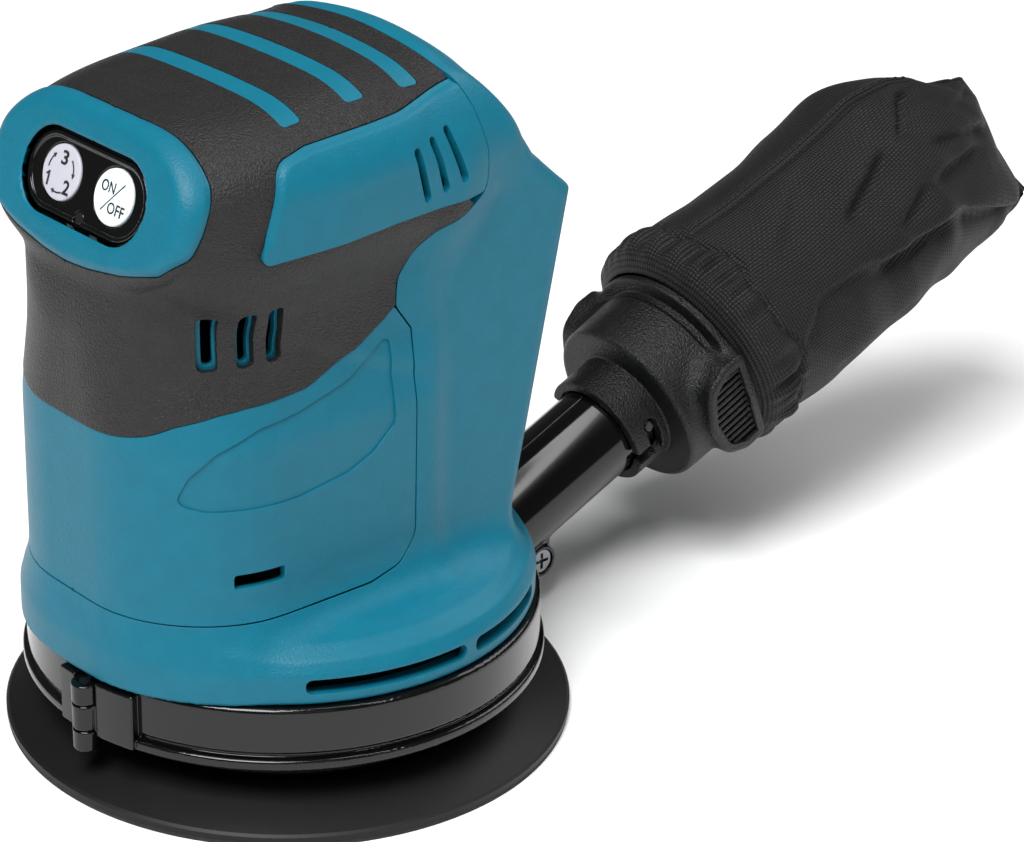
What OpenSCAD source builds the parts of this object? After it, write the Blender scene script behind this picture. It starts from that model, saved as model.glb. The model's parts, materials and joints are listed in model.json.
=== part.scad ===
// Cordless random orbital sander, in millimetres.
// The pad face is at z = 0, the motor axis is the Z axis, and the switch panel faces -Y.
// "left" is the tool's own left, which is +X.

$fn = 64;

/* [Pad] */
// Diameter of the round sanding pad
pad_d = 124; // [120:1:125]
// Radius of the orbit that the pad makes
orbit = 1.4; // [1:0.1:1.5]
// Diameter of the circle that the dust holes lie on
hole_pcd = 65; // [62:1:68]
// Diameter of each dust hole
hole_d = 9; // [8:0.5:10]

/* [Body] */
// Half width of the lower body
body_hw = 35.5; // [35:0.5:36.5]
// Half width of the grip where the palm meets it
head_hw = 37; // [36.5:0.5:38]
// Half width of the neck under the grip
neck_hw = 31.8; // [31:0.2:33]
// Distance from the motor axis to the front face
nose = 55.2; // [55:0.1:55.6]
// Height of the top of the grip at its back
top_z = 153.2; // [152:0.2:155]
// Radius of the base flange
base_r = 54.6; // [54:0.1:54.8]
// Thickness of the rubber on the grip
rubber = 1.5; // [1.2:0.1:1.8]
// Depth of the housing wall, rubber included
wall = 3.6; // [3.4:0.1:4]

/* [Switches] */
// Radius of each push button
button_r = 6.2; // [5.8:0.1:6.4]
// Distance of each button from the centre plane
button_x = 8.5; // [8.3:0.1:9]
// Tilt of the switch panel away from flat
panel_tilt = 69.55; // [68:0.5:71]

/* [Dust nozzle and bag] */
// Outside radius of the dust tube
tube_r = 11.2; // [11:0.1:11.3]
// Wall of the dust tube
tube_wall = 2; // [1.6:0.1:2.2]
// Rise of the dust tube above level
tube_rise = 22.5; // [22:0.5:24]
// Distance along the tube to the end of the bag
bag_end = 188; // [180:1:195]

/* [Hidden] */

teal = [0.13, 0.50, 0.58];
rubber_grey = [0.23, 0.22, 0.22];
gloss_black = [0.06, 0.06, 0.06];
plastic_black = [0.11, 0.11, 0.11];
steel = [0.72, 0.73, 0.75];
copper = [0.72, 0.42, 0.20];
board_green = [0.08, 0.32, 0.18];

far = 200;
seam_z = 44.3;
bay_half = 31;
bay_lip_half = 27.5;
bay_depth = 9;
tube_y = 50;
tube_z = 17.6;
mouth_s = 47;
cup_s = 57;
pin_s = 53;
flange_s = 76;
ring_top = 28.1;
ring_r = 56;
neck_r = 50.1;
hinge_a = -84;
hinge_r = 57.6;
lug_y = 70;
lug_z = 12.2;
panel_y = -48.9;
panel_z = 131.9;

// Screw places as [y, z]: the screws run along X, with their heads on the right
base_screw_at = [[-44, 37.8], [26, 50], [30, 100]];
front_screw_at = [[-46, 66], [-41, 108], [-14, 139]];

// Points of an arc, from angle a to angle b
function arc(x, y, r, a, b, n = 10) = [for (i = [0:n]) [x + r * cos(a + (b - a) * i / n), y + r * sin(a + (b - a) * i / n)]];

// Y of the sloping back face of the column at height z
function back_y(z) = 36.6 + (z - 44.8) * 0.2;

// The joint line between the front housing and the base housing, seen from the side
seam_line = [
    [-80, seam_z], [-6, seam_z + 0.6], [3, seam_z + 2.6], [7, seam_z + 7], [7, 97], [3.6, 103.5],
    [3.0, 109], [5.2, 114.5], [11.5, 118], [19.5, 119.8], [24, 123], [25.8, 130], [24.3, 141],
    [20.5, 152], [20, 170]
];

// An outline in the YZ plane, carried across the full width
module across(points, width = far) {
    rotate([90, 0, 90]) linear_extrude(width, center = true) polygon(points);
}

// An outline in the XZ plane, carried along Y
module along(points) {
    rotate([90, 0, 0]) linear_extrude(far * 2, center = true) polygon(points);
}

// Keeps the half of the children on the left (side = 1) or the right (side = -1)
module half(side, gap = 0) {
    intersection() {
        children();
        translate([side > 0 ? gap : -far - gap, -far, -far]) cube([far, far * 2.5, far * 2.5]);
    }
}

// Everything in front of the joint line
module front_region(shift = 0) {
    translate([0, -shift, shift]) across(concat(seam_line, [[-80, 170]]));
}

// ---- Outer form of the housings, drawn in by the inset o ----

function nose_plan(o) = concat(
    arc(-(head_hw - 29), -nose + 29, 29 - o, 180, 270),
    arc(head_hw - 29, -nose + 29, 29 - o, 270, 360),
    [[head_hw - o, 60], [-(head_hw - o), 60]]
);

function side_outline(o) = [
    [-nose + o, 25], [-nose + o, 112.5], [-54.6 + o, 116.6], [-43.6 + o, 146.2 - o],
    [-42.4 + o, 147.2 - o], [-40 + o, 147.5 - o], [22.8, 153.4 - o], [26, 153.4 - o], [26, 25]
];

function waist_half(o) = [
    [body_hw - o, 20], [body_hw - o, 84], [body_hw - 1.4 - o, 88], [neck_hw + 0.5 - o, 97],
    [neck_hw - o, 103], [neck_hw + 0.4 - o, 109], [neck_hw + 2.6 - o, 115],
    [head_hw - 0.4 - o, 121], [head_hw - o, 128], [head_hw - o, 170]
];

function crown_half(o) = [
    [head_hw - o, -160], [head_hw - o, -15], [head_hw - 1 - o, -10.5], [head_hw - 3.2 - o, -6.6],
    [head_hw - 7 - o * 0.7, -3.6 - o * 0.7], [head_hw - 13, -1.7 - o], [14, -0.5 - o], [0, -o]
];

function both_sides(h) = concat(h, [for (i = [len(h) - 1:-1:0]) [-h[i][0], h[i][1]]]);

module crown(o) {
    translate([0, 22.8, top_z]) rotate([5.45, 0, 0]) along(both_sides(crown_half(o)));
}

module front_form(o) {
    intersection() {
        translate([0, 0, 20]) linear_extrude(150) polygon(nose_plan(o));
        across(side_outline(o));
        along(both_sides(waist_half(o)));
        crown(o);
    }
}

function column_outline(o) = [
    [7 + o, 25], [7 + o, 97], [3.6 + o, 103.5], [3 + o, 109], [5.2 + o, 114.5 - o],
    [11.5 + o, 118 - o], [16 + o, 150 - o], [22, 153 - o], [29 - o, 148.5 - o], [33 - o, 140],
    [36.6 - o, 134], [39.6 - o, 127 - o], [back_y(117.2) - o, 117.2 - o], [back_y(25) - o, 25]
];

function column_plan(o) = concat(
    arc(31 - 0.5, 47.5, 5 - o, 0, 90, 6), arc(-(31 - 0.5), 47.5, 5 - o, 90, 180, 6),
    [[-(35.5 - o), 2], [35.5 - o, 2]]
);

module column_form(o) {
    intersection() {
        across(column_outline(o));
        translate([0, 0, 20]) linear_extrude(150) polygon(column_plan(o));
        crown(o);
    }
}

module base_form(o) {
    rotate_extrude() polygon([
        [0, 28.4], [base_r - o, 28.4], [base_r - o, 34.4], [base_r - 1 - o, 36.4],
        [base_r - 4 - o, 38.8 - o / 2], [46.5 - o, 40.8 - o / 2], [38, 42.6 - o], [0, 42.6 - o]
    ]);
}

// A screw boss along X with its counterbore on the right
module boss(at, side) {
    half(side) translate([0, at[0], at[1]]) rotate([0, 90, 0]) cylinder(r = 3.4, h = 80, center = true);
}

module boss_holes(at) {
    translate([-40, at[0], at[1]]) rotate([0, 90, 0]) cylinder(r = 3.2, h = 22);
    translate([-19, at[0], at[1]]) rotate([0, 90, 0]) cylinder(r = 1.6, h = 31);
}

// Ribs across the inside of a housing that hold the motor can
module motor_ribs(z) {
    translate([-50, -42, z]) cube([100, 84, 2]);
}

// ---- Housings ----

module exhaust_slots() {
    for (m = [0, 1]) mirror([m, 0, 0]) {
        for (span = [[-34, 5.4], [8.2, 38]]) {
            rotate([0, 0, span[0]]) rotate_extrude(angle = span[1] - span[0])
                translate([44, 30.6]) square([20, 3.6]);
        }
    }
}

// The bay at the back that the battery slides down into
module battery_bay() {
    difference() {
        across([
            [back_y(60) - bay_depth, 60], [back_y(60) + 20, 60],
            [back_y(150) + 20, 150], [back_y(150) - bay_depth, 150]
        ], bay_half * 2);
        for (s = [-1, 1]) translate([s * (bay_lip_half + 10), 0, 0]) across([
            [back_y(40) - 3, 40], [back_y(40) + 2, 40], [back_y(119) + 2, 119], [back_y(119) - 3, 119]
        ], 20);
    }
}

module bay_backing() {
    across([
        [back_y(58) - bay_depth - 2.4, 58], [back_y(58) - 1, 58],
        [back_y(119) - 1, 119], [back_y(126) - bay_depth - 2.4, 126]
    ], 68);
}

module base_housing(side) {
    half(side) difference() {
        union() {
            difference() {
                union() {
                    base_form(0);
                    difference() {
                        union() {
                            front_form(0);
                            column_form(0);
                        }
                        front_region();
                        translate([0, 0, -171.6]) cube([far, far, far * 2], center = true);
                    }
                }
                difference() {
                    union() {
                        base_form(2.4);
                        front_form(wall);
                        column_form(2.6);
                    }
                    translate([0, 0, 20]) cylinder(r = 70, h = 10.2);
                }
            }
            intersection() {
                union() {
                    for (at = base_screw_at) boss(at, side);
                    bay_backing();
                    intersection() {
                        for (z = [60, 88]) motor_ribs(z);
                        translate([-50, 7.3, 0]) cube([100, 20, 200]);
                    }
                }
                union() {
                    column_form(0.2);
                    base_form(0.2);
                    difference() {
                        front_form(0.2);
                        front_region();
                    }
                }
            }
            cylinder_ring(24, 31, 30.2, 33.5);
            cylinder_ring(47, neck_r, 22.8, 28.6);
            cylinder_ring(47, neck_r + 1.5, 22.8, 24.4);
        }
        translate([0, 0, 0]) cylinder(r = 24, h = 34);
        cylinder_ring(21, 47, 20, 28.4);
        translate([0, 0, 33.6]) cylinder(r = 23, h = 90);
        for (at = base_screw_at) boss_holes(at);
        exhaust_slots();
        battery_bay();
        translate([0, 0, 28]) for (a = [45:90:315]) rotate([0, 0, a]) translate([27.5, 0, 0]) cylinder(r = 1.4, h = 8);
        translate([-12.3, back_y(112) - bay_depth - 6, 98]) cube([24.6, 12, 20]);
    }
}

module cylinder_ring(r_in, r_out, z0, z1) {
    translate([0, 0, z0]) difference() {
        cylinder(r = r_out, h = z1 - z0);
        translate([0, 0, -1]) cylinder(r = r_in, h = z1 - z0 + 2);
    }
}

// Places children in the frame of the switch panel: X across, Y up it, Z outwards
module at_panel() {
    translate([0, panel_y, panel_z]) rotate([panel_tilt, 0, 0]) children();
}

module oval(half_x, half_y, z0, z1) {
    translate([0, 0, z0]) {
        translate([-(half_x - half_y), -half_y, 0]) cube([2 * (half_x - half_y), 2 * half_y, z1 - z0]);
        for (s = [-1, 1]) translate([s * (half_x - half_y), 0, 0]) cylinder(r = half_y, h = z1 - z0);
    }
}

// The outline of the raised side panel of the grip, seen from the side
panel_outline = [
    [-33, 122.6], [-30.6, 131], [-28, 138.6], [-24, 141.6], [-12, 142.6], [4, 143.4],
    [19, 145.6], [30, 146.5], [30, 124.4], [-10, 122]
];

module side_slots() {
    for (y = [6.2, 10.8, 15.4]) across([
        [y, 137.6], [y + 1.7, 137.8], [y + 4.3, 126.4], [y + 2.6, 126.2]
    ]);
    for (y = [-41, -33.9, -27.6]) across([
        [y - 1.8, 99.5], [y - 1.8, 111], [y + 1.8, 111], [y + 1.8, 99.5]
    ]);
}

module side_only(x) {
    difference() {
        children();
        cube([2 * x, far * 2, far * 2], center = true);
    }
}

// The part of the outer form that the rubber covers
module rubber_zone() {
    difference() {
        across([
            [-80, 84.3], [-54, 84.4], [-51, 86], [-47, 88.5], [-40, 90.6], [-35, 91.3], [-20, 92],
            [-7, 97], [0.8, 101.3], [6, 104], [60, 104], [60, 170], [-80, 170]
        ]);
        side_only(24) across(panel_outline);
        across([[-80, 116.4], [-49.5, 116.4], [-36.6, 148], [-40, 170], [-80, 170]]);
        for (y = [-17.6, -5.3, 10.3]) translate([0, y, 150]) oval_bar(29, 2.7);
    }
}

module oval_bar(half_len, r) {
    translate([-(half_len - r), -r, -12]) cube([2 * (half_len - r), 2 * r, 24]);
    for (s = [-1, 1]) translate([s * (half_len - r), 0, -12]) cylinder(r = r, h = 24);
}

module front_housing(side) {
    color(teal) half(side) difference() {
        union() {
            difference() {
                intersection() {
                    front_form(0);
                    front_region();
                }
                front_form(wall);
                intersection() {
                    rubber_zone();
                    difference() {
                        front_form(-1);
                        front_form(rubber);
                    }
                }
            }
            intersection() {
                front_form(wall - 0.9);
                front_region(0.6);
                union() {
                    for (at = front_screw_at) boss(at, side);
                    difference() {
                        for (z = [60, 88]) motor_ribs(z);
                        translate([0, 0, 50]) cylinder(r = 22.8, h = 60);
                    }
                }
            }
        }
        for (at = front_screw_at) boss_holes(at);
        side_slots();
        side_only(34.9) across([
            [-52, 76], [-46, 71.5], [-34, 69.5], [-20.7, 69.5], [-10, 71.5], [-3, 75], [1.5, 80],
            [1.5, 97.5], [-1, 97.5], [-10, 92], [-20, 89.4], [-37, 88], [-45, 84]
        ]);
        translate([0, -33.5, 54.2]) cube([far, 12, 2.3], center = true);
        at_panel() oval(19.3, 9.8, -8, 5);
    }
}

module grip_rubber(side) {
    color(rubber_grey) half(side) difference() {
        intersection() {
            rubber_zone();
            front_region(0.02);
            difference() {
                front_form(0);
                front_form(rubber);
            }
        }
        for (at = front_screw_at) boss_holes(at);
        side_slots();
    }
}

// ---- Switches and electronics ----

module switch_panel() {
    color(gloss_black) at_panel() difference() {
        oval(19, 9.5, -1.9, -0.3);
        for (s = [-1, 1]) translate([s * button_x, 0, -5]) cylinder(r = button_r + 0.3, h = 10);
        translate([0, -7.5, -5]) cylinder(r = 1.5, h = 10);
    }
}

module push_button(s) {
    color([0.85, 0.86, 0.88]) at_panel() translate([s * button_x, 0, 0]) {
        translate([0, 0, -3.2]) cylinder(r = button_r, h = 3.4);
        translate([0, 0, -3.2]) cylinder(r = button_r + 0.8, h = 0.9);
    }
}

module speed_button() {
    push_button(-1);
}

module power_button() {
    push_button(1);
}

module lamp_lens() {
    color([0.3, 0.3, 0.32]) at_panel() translate([0, -7.5, -1.9]) cylinder(r = 1.4, h = 2);
}

module switch_board() {
    color(board_green) at_panel() difference() {
        translate([-18.6, -8.6, -5.9]) cube([37.2, 17.2, 1.6]);
        for (s = [-1, 1]) translate([s * 17, 6.5, -8]) cylinder(r = 1.2, h = 10);
    }
}

module control_board() {
    color(board_green) difference() {
        translate([-27, -32, 116]) cube([54, 44, 1.6]);
        for (x = [-24, 24]) for (y = [-29, 9]) translate([x, y, 110]) cylinder(r = 1.6, h = 10);
        for (x = [-8, 8]) translate([x, 6, 110]) cylinder(r = 1.3, h = 10);
    }
}

module heat_sink() {
    color([0.78, 0.79, 0.8]) {
        translate([-18, -10, 117.7]) cube([36, 16, 2.3]);
        for (i = [0:6]) translate([-18 + i * 5.75, -10, 119]) cube([1.5, 16, 8]);
    }
}

module filter_capacitor() {
    color([0.15, 0.2, 0.4]) translate([14, -22, 117.7]) cylinder(r = 5, h = 12);
}

module terminal_block() {
    color(plastic_black) difference() {
        translate([-12, back_y(112) - bay_depth - 5.5, 98.3]) cube([24, 9.5, 19.4]);
        for (x = [-8, 0, 8]) translate([x - 0.6, 0, 90]) cube([1.2, 80, 24]);
    }
}

module terminal_blades() {
    color(steel) for (x = [-8, 0, 8]) translate([x - 0.4, back_y(112) - bay_depth - 3, 99]) cube([0.8, 9.5, 14]);
}

module screws_along_x(places) {
    color(steel) for (at = places) translate([0, at[0], at[1]]) rotate([0, 90, 0]) {
        translate([0, 0, -18.2]) cylinder(r = 1.5, h = 28);
        difference() {
            translate([0, 0, -20]) cylinder(r = 2.9, h = 1.95);
            translate([-0.4, -2, -20.5]) cube([0.8, 4, 1.4]);
            translate([-2, -0.4, -20.5]) cube([4, 0.8, 1.4]);
        }
    }
}

module base_screws() {
    screws_along_x(base_screw_at);
}

module front_screws() {
    screws_along_x(front_screw_at);
}

// ---- Motor ----

module motor_can() {
    color(steel) {
        cylinder_ring(20.5, 22.5, 50, 97);
        difference() {
            cylinder_ring(6, 21, 50, 51.5);
            for (a = [0:60:300]) rotate([0, 0, a]) translate([13, 0, 45]) cylinder(r = 3, h = 10);
        }
    }
}

module motor_magnets() {
    color([0.25, 0.25, 0.27]) for (a = [-70, 110]) rotate([0, 0, a]) rotate_extrude(angle = 140)
        translate([15.2, 54]) square([5.2, 34]);
}

module motor_endcap() {
    color(plastic_black) difference() {
        union() {
            cylinder_ring(20.5, 22.5, 97.05, 101);
            translate([0, 0, 99.2]) cylinder(r = 22.5, h = 2);
            translate([0, 0, 101]) cylinder(r = 12, h = 7);
        }
        translate([0, 0, 95]) cylinder(r = 4.5, h = 20);
        translate([0, 0, 101.4]) cylinder(r = 9.5, h = 10);
        for (x = [-8, 8]) translate([x, 15, 95]) cylinder(r = 1.4, h = 10);
    }
}

module motor_leads() {
    color([0.6, 0.1, 0.1]) for (x = [-8, 8]) translate([x, 15, 99.4]) {
        cylinder(r = 1.2, h = 12);
        translate([0, 0, 11]) rotate([0, 0, 0]) cylinder(r = 1.2, h = 4.8);
    }
}

module brush_holder() {
    color(plastic_black) difference() {
        cylinder_ring(9.6, 20.3, 91, 99);
        translate([-30, -2.7, 92.3]) cube([60, 5.4, 5.4]);
    }
}

module carbon_brushes() {
    color([0.12, 0.12, 0.12]) for (s = [0, 1]) mirror([s, 0, 0]) translate([8.4, -2.5, 92.5]) cube([7.6, 5, 5]);
}

module brush_springs() {
    color(steel) for (s = [0, 1]) mirror([s, 0, 0]) translate([16.1, 0, 95]) rotate([0, 90, 0]) difference() {
        cylinder(r = 2, h = 4);
        translate([0, 0, -1]) cylinder(r = 1.2, h = 6);
    }
}

module armature_core() {
    color([0.5, 0.5, 0.52]) difference() {
        translate([0, 0, 56.2]) cylinder(r = 14.4, h = 29.6);
        translate([0, 0, 50]) cylinder(r = 3.01, h = 40);
        for (a = [0:30:330]) rotate([0, 0, a]) translate([12.6, 0, 50]) {
            cylinder(r = 1.3, h = 40);
            translate([0, -0.5, 0]) cube([4, 1, 40]);
        }
    }
}

module armature_windings() {
    color(copper) for (z = [52.2, 86]) rotate_extrude() translate([4.6, z])
        polygon([[0, 0.6], [1, 0], [7.4, 0], [8.6, 1.2], [8.6, 2.9], [7.4, 4], [1, 4], [0, 3.4]]);
}

module commutator() {
    color(copper) difference() {
        translate([0, 0, 91]) cylinder(r = 8, h = 8);
        translate([0, 0, 90]) cylinder(r = 3.01, h = 10);
        for (a = [0:30:330]) rotate([0, 0, a]) translate([7.3, -0.2, 90]) cube([2, 0.4, 10]);
    }
}

module motor_shaft() {
    color(steel) {
        translate([0, 0, 24.4]) cylinder(r = 4, h = 24.8);
        translate([0, 0, 49]) cylinder(r = 3, h = 60);
    }
}

module bearing(r_in, r_out, width) {
    color(steel) rotate_extrude() polygon([
        [r_in, 0], [r_in + 1.6, 0], [r_in + 1.8, 0.5], [r_out - 1.8, 0.5], [r_out - 1.6, 0],
        [r_out, 0], [r_out, width], [r_out - 1.6, width], [r_out - 1.8, width - 0.5],
        [r_in + 1.8, width - 0.5], [r_in + 1.6, width], [r_in, width]
    ]);
}

module upper_bearing() {
    translate([0, 0, 101.5]) bearing(3.03, 9.48, 6);
}

module lower_bearing() {
    translate([0, 0, 31]) bearing(4.03, 10.98, 7);
}

module bearing_plate() {
    color([0.68, 0.69, 0.7]) difference() {
        union() {
            translate([0, 0, 33.5]) cylinder(r = 31, h = 2.5);
            translate([0, 0, 30.7]) cylinder(r = 14, h = 7.5);
        }
        translate([0, 0, 30.95]) cylinder(r = 11, h = 10);
        translate([0, 0, 25]) cylinder(r = 8.2, h = 10);
        for (a = [45:90:315]) rotate([0, 0, a]) translate([27.5, 0, 30]) cylinder(r = 1.8, h = 10);
    }
}

module bearing_plate_screws() {
    color(steel) for (a = [45:90:315]) rotate([0, 0, a]) translate([27.5, 0, 0]) {
        translate([0, 0, 29.4]) cylinder(r = 1.35, h = 6.8);
        translate([0, 0, 36.05]) difference() {
            cylinder(r = 2.8, h = 2);
            translate([-0.4, -2, 1]) cube([0.8, 4, 2]);
            translate([-2, -0.4, 1]) cube([4, 0.8, 2]);
        }
    }
}

module cooling_fan() {
    color(plastic_black) {
        cylinder_ring(4.02, 7, 40, 47.5);
        cylinder_ring(6.5, 22.4, 46, 47.5);
        for (a = [0:40:320]) rotate([0, 0, a]) translate([6.8, -0.7, 40.2]) cube([15.4, 1.4, 6]);
    }
}

// ---- Rotor parts under the motor ----

module eccentric_spindle() {
    color(steel) difference() {
        union() {
            translate([orbit, 0, 12.75]) cylinder(r = 5, h = 9);
            translate([0, 0, 21]) cylinder(r = 9, h = 3);
            translate([0, 0, 23.5]) cylinder(r = 7.4, h = 6.7);
        }
        translate([0, 0, 24.3]) cylinder(r = 4.01, h = 10);
        translate([orbit, 0, 11]) cylinder(r = 2.1, h = 8.5);
    }
}

module spindle_screw() {
    color(steel) translate([orbit, 0, 0]) difference() {
        union() {
            translate([0, 0, 11.1]) cylinder(r = 6.4, h = 1.4);
            translate([0, 0, 12.4]) cylinder(r = 2.05, h = 6.6);
        }
        translate([0, 0, 10]) cylinder(r = 2, h = 1.8, $fn = 6);
    }
}

module counterweight() {
    color(steel) difference() {
        rotate([0, 0, 100]) rotate_extrude(angle = 160) translate([7.5, 28.15]) square([13, 1.9]);
        for (a = [140, 220]) rotate([0, 0, a]) translate([15, 0, 25]) cylinder(r = 1.5, h = 10);
    }
}

module dust_fan() {
    color(plastic_black) {
        cylinder_ring(7.5, 12, 24.2, 28);
        cylinder_ring(11.5, 42, 26.6, 28);
        for (a = [0:40:320]) rotate([0, 0, a]) translate([19.4, -0.8, 21.2]) rotate([0, 0, -12]) cube([22, 1.6, 5.6]);
    }
}

// ---- Pad ----

// The three places round the pad's centre where it is screwed to its hub
module pad_screw_places() {
    for (a = [90, 210, 330]) rotate([0, 0, a]) translate([13, 0, 0]) children();
}

module dust_holes() {
    for (a = [22.5:45:337.5]) rotate([0, 0, a]) translate([hole_pcd / 2, 0, -1]) cylinder(d = hole_d, h = 20);
}

module pad_bearing() {
    translate([orbit, 0, 12.6]) bearing(5.03, 12.98, 8);
}

module pad_hub() {
    color([0.68, 0.69, 0.7]) translate([orbit, 0, 0]) difference() {
        translate([0, 0, 8.4]) cylinder(r = 16.4, h = 12.2);
        translate([0, 0, 12.6]) cylinder(r = 13, h = 10);
        translate([0, 0, 10.6]) cylinder(r = 10.4, h = 10);
        pad_screw_places() translate([0, 0, 5]) cylinder(r = 1.55, h = 6.4);
    }
}

module pad_plate() {
    color(plastic_black) translate([orbit, 0, 0]) difference() {
        translate([0, 0, 6]) cylinder(r = 45.6, h = 2.4);
        dust_holes();
        pad_screw_places() translate([0, 0, 5]) cylinder(r = 1.8, h = 10);
    }
}

module pad_screws() {
    color(steel) translate([orbit, 0, 0]) pad_screw_places() difference() {
        union() {
            translate([0, 0, 3.6]) cylinder(r = 3, h = 2.4);
            translate([0, 0, 5.9]) cylinder(r = 1.5, h = 5.2);
        }
        translate([0, 0, 3]) cylinder(r = 1.4, h = 2, $fn = 6);
    }
}

module pad_foam() {
    color([0.10, 0.10, 0.10]) translate([orbit, 0, 0]) difference() {
        rotate_extrude() polygon([
            [0, 1.2], [pad_d / 2, 1.2], [pad_d / 2, 2.3], [pad_d / 2 - 0.6, 2.8],
            [pad_d / 2 - 14, 7.4], [45.8, 7.4], [45.8, 6], [0, 6]
        ]);
        dust_holes();
        pad_screw_places() translate([0, 0, -1]) cylinder(r = 3.6, h = 20);
    }
}

module hook_face() {
    color([0.2, 0.2, 0.21]) translate([orbit, 0, 0]) difference() {
        cylinder(r = pad_d / 2 - 0.2, h = 1.2);
        dust_holes();
        pad_screw_places() translate([0, 0, -1]) cylinder(r = 3.6, h = 20);
    }
}

module pad_brake() {
    color(rubber_grey) rotate([0, 0, 165]) rotate_extrude(angle = 30) translate([47.2, 7.9]) square([2.6, 14.85]);
}

// ---- Dust nozzle and its clamp ring ----

// Places children along the dust tube: Z runs outwards along it
module at_tube() {
    translate([0, tube_y, tube_z]) rotate([tube_rise - 90, 0, 0]) children();
}

module ring_section() {
    polygon([
        [53.5, 14], [57, 14], [57, 16.6], [56.2, 17.4], [ring_r, 17.6], [ring_r, ring_top - 0.5],
        [ring_r - 0.5, ring_top], [neck_r + 0.3, ring_top], [neck_r + 0.3, 24.7], [53.5, 24.7]
    ]);
}

module knuckle(z0, z1) {
    rotate([0, 0, hinge_a]) translate([0, 0, z0]) {
        translate([hinge_r, 0, 0]) cylinder(r = 3, h = z1 - z0);
    }
}

module leaf(a0, a1) {
    rotate([0, 0, a0]) rotate_extrude(angle = a1 - a0) translate([54.6, 14.6]) square([3.4, 12.6]);
}

module nozzle_ring(side) {
    color(gloss_black) difference() {
        union() {
            if (side > 0) {
                rotate([0, 0, hinge_a]) rotate_extrude(angle = 90 - hinge_a) ring_section();
                knuckle(16, 21.8);
                leaf(hinge_a + 1, hinge_a + 13);
            } else {
                rotate([0, 0, 90]) rotate_extrude(angle = 270 + hinge_a) ring_section();
                knuckle(11, 15.8);
                knuckle(22, 26.6);
                leaf(hinge_a - 8, hinge_a - 1);
            }
            half(side) {
                difference() {
                    at_tube() translate([0, 0, -2]) cylinder(r = tube_r, h = 62);
                    rotate_extrude() polygon([[0, 2], [54.3, 2], [54.3, 25], [55.1, 28.3], [55.1, 60], [0, 60]]);
                }
                at_tube() rotate([0, 0, side > 0 ? -12 : 168]) translate([tube_r - 0.8, 0, pin_s])
                    rotate([0, 90, 0]) cylinder(r = 1.4, h = 2.9);
                translate([0, lug_y, lug_z]) rotate([0, 90, 0]) cylinder(r = 4, h = 16, center = true);
            }
        }
        at_tube() translate([0, 0, -12]) cylinder(r = tube_r - tube_wall, h = 90);
        translate([0, 0, 24.4]) cylinder(r = neck_r + 0.3, h = 20);
        translate([0, lug_y, lug_z]) rotate([0, 90, 0]) cylinder(r = 1.6, h = 40, center = true);
        translate([5.5, lug_y, lug_z]) rotate([0, 90, 0]) cylinder(r = 3, h = 5);
        translate([-10.5, lug_y, lug_z]) rotate([0, 90, 0]) cylinder(r = 3.1, h = 5);
        rotate([0, 0, hinge_a]) translate([hinge_r, 0, 5]) cylinder(r = 1.25, h = 30);
        if (side > 0) {
            knuckle_gap(10, 15.9);
            knuckle_gap(21.9, 27);
        } else {
            knuckle_gap(15.9, 21.9);
        }
    }
}

module knuckle_gap(z0, z1) {
    rotate([0, 0, hinge_a]) translate([hinge_r, 0, z0]) cylinder(r = 3.2, h = z1 - z0);
}

module ring_hinge_pin() {
    color(steel) rotate([0, 0, hinge_a]) translate([hinge_r, 0, 10.8]) cylinder(r = 1.2, h = 16);
}

module clamp_screw() {
    color([0.2, 0.2, 0.2]) translate([0, lug_y, lug_z]) rotate([0, 90, 0]) difference() {
        union() {
            translate([0, 0, -7.6]) cylinder(r = 1.5, h = 13.6);
            translate([0, 0, 5.55]) cylinder(r = 2.8, h = 2);
        }
        translate([-0.4, -2, 6.8]) cube([0.8, 4, 2]);
        translate([-2, -0.4, 6.8]) cube([4, 0.8, 2]);
    }
}

module clamp_nut() {
    color(steel) translate([-7.9, lug_y, lug_z]) rotate([0, 90, 0]) difference() {
        cylinder(r = 3, h = 2.3, $fn = 6);
        translate([0, 0, -1]) cylinder(r = 1.55, h = 5);
    }
}

// ---- Bag ----

module bayonet_slot() {
    rotate([0, 0, -20]) rotate_extrude(angle = 43) translate([11, pin_s - 1.8]) square([4, 3.6]);
    rotate([0, 0, 7]) rotate_extrude(angle = 15) translate([10.4, mouth_s - 1]) square([5.2, pin_s - mouth_s + 1.5]);
}

module bag_frame() {
    color(plastic_black) at_tube() difference() {
        union() {
            rotate_extrude() polygon([
                [tube_r + 0.3, mouth_s], [13.9, mouth_s], [13.9, cup_s], [20.4, cup_s],
                [21, cup_s + 0.6], [21.6, 66], [24.4, 71.5], [24.4, flange_s], [22, flange_s],
                [22, 88], [20, 88], [20, 73], [18.8, 66], [18.8, 59.2], [tube_r + 0.3, 59.2]
            ]);
            for (s = [-1, 1]) translate([s * 23, 0, 69.5]) rotate([0, 90, 0]) cylinder(r = 6.6, h = 5, center = true);
        }
        for (a = [0, 180]) rotate([0, 0, a]) bayonet_slot();
        for (s = [-1, 1]) for (i = [-3:3]) translate([s * 25.6, i * 1.7, 69.5]) cube([1.4, 0.8, 9], center = true);
    }
}

module bag_slice(half_x, half_y, r, s) {
    translate([0, 0, s]) for (x = [-1, 1]) for (y = [-1, 1])
        translate([x * (half_x - r), y * (half_y - r), 0]) cylinder(r = r, h = 0.5, $fn = 32);
}

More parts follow.
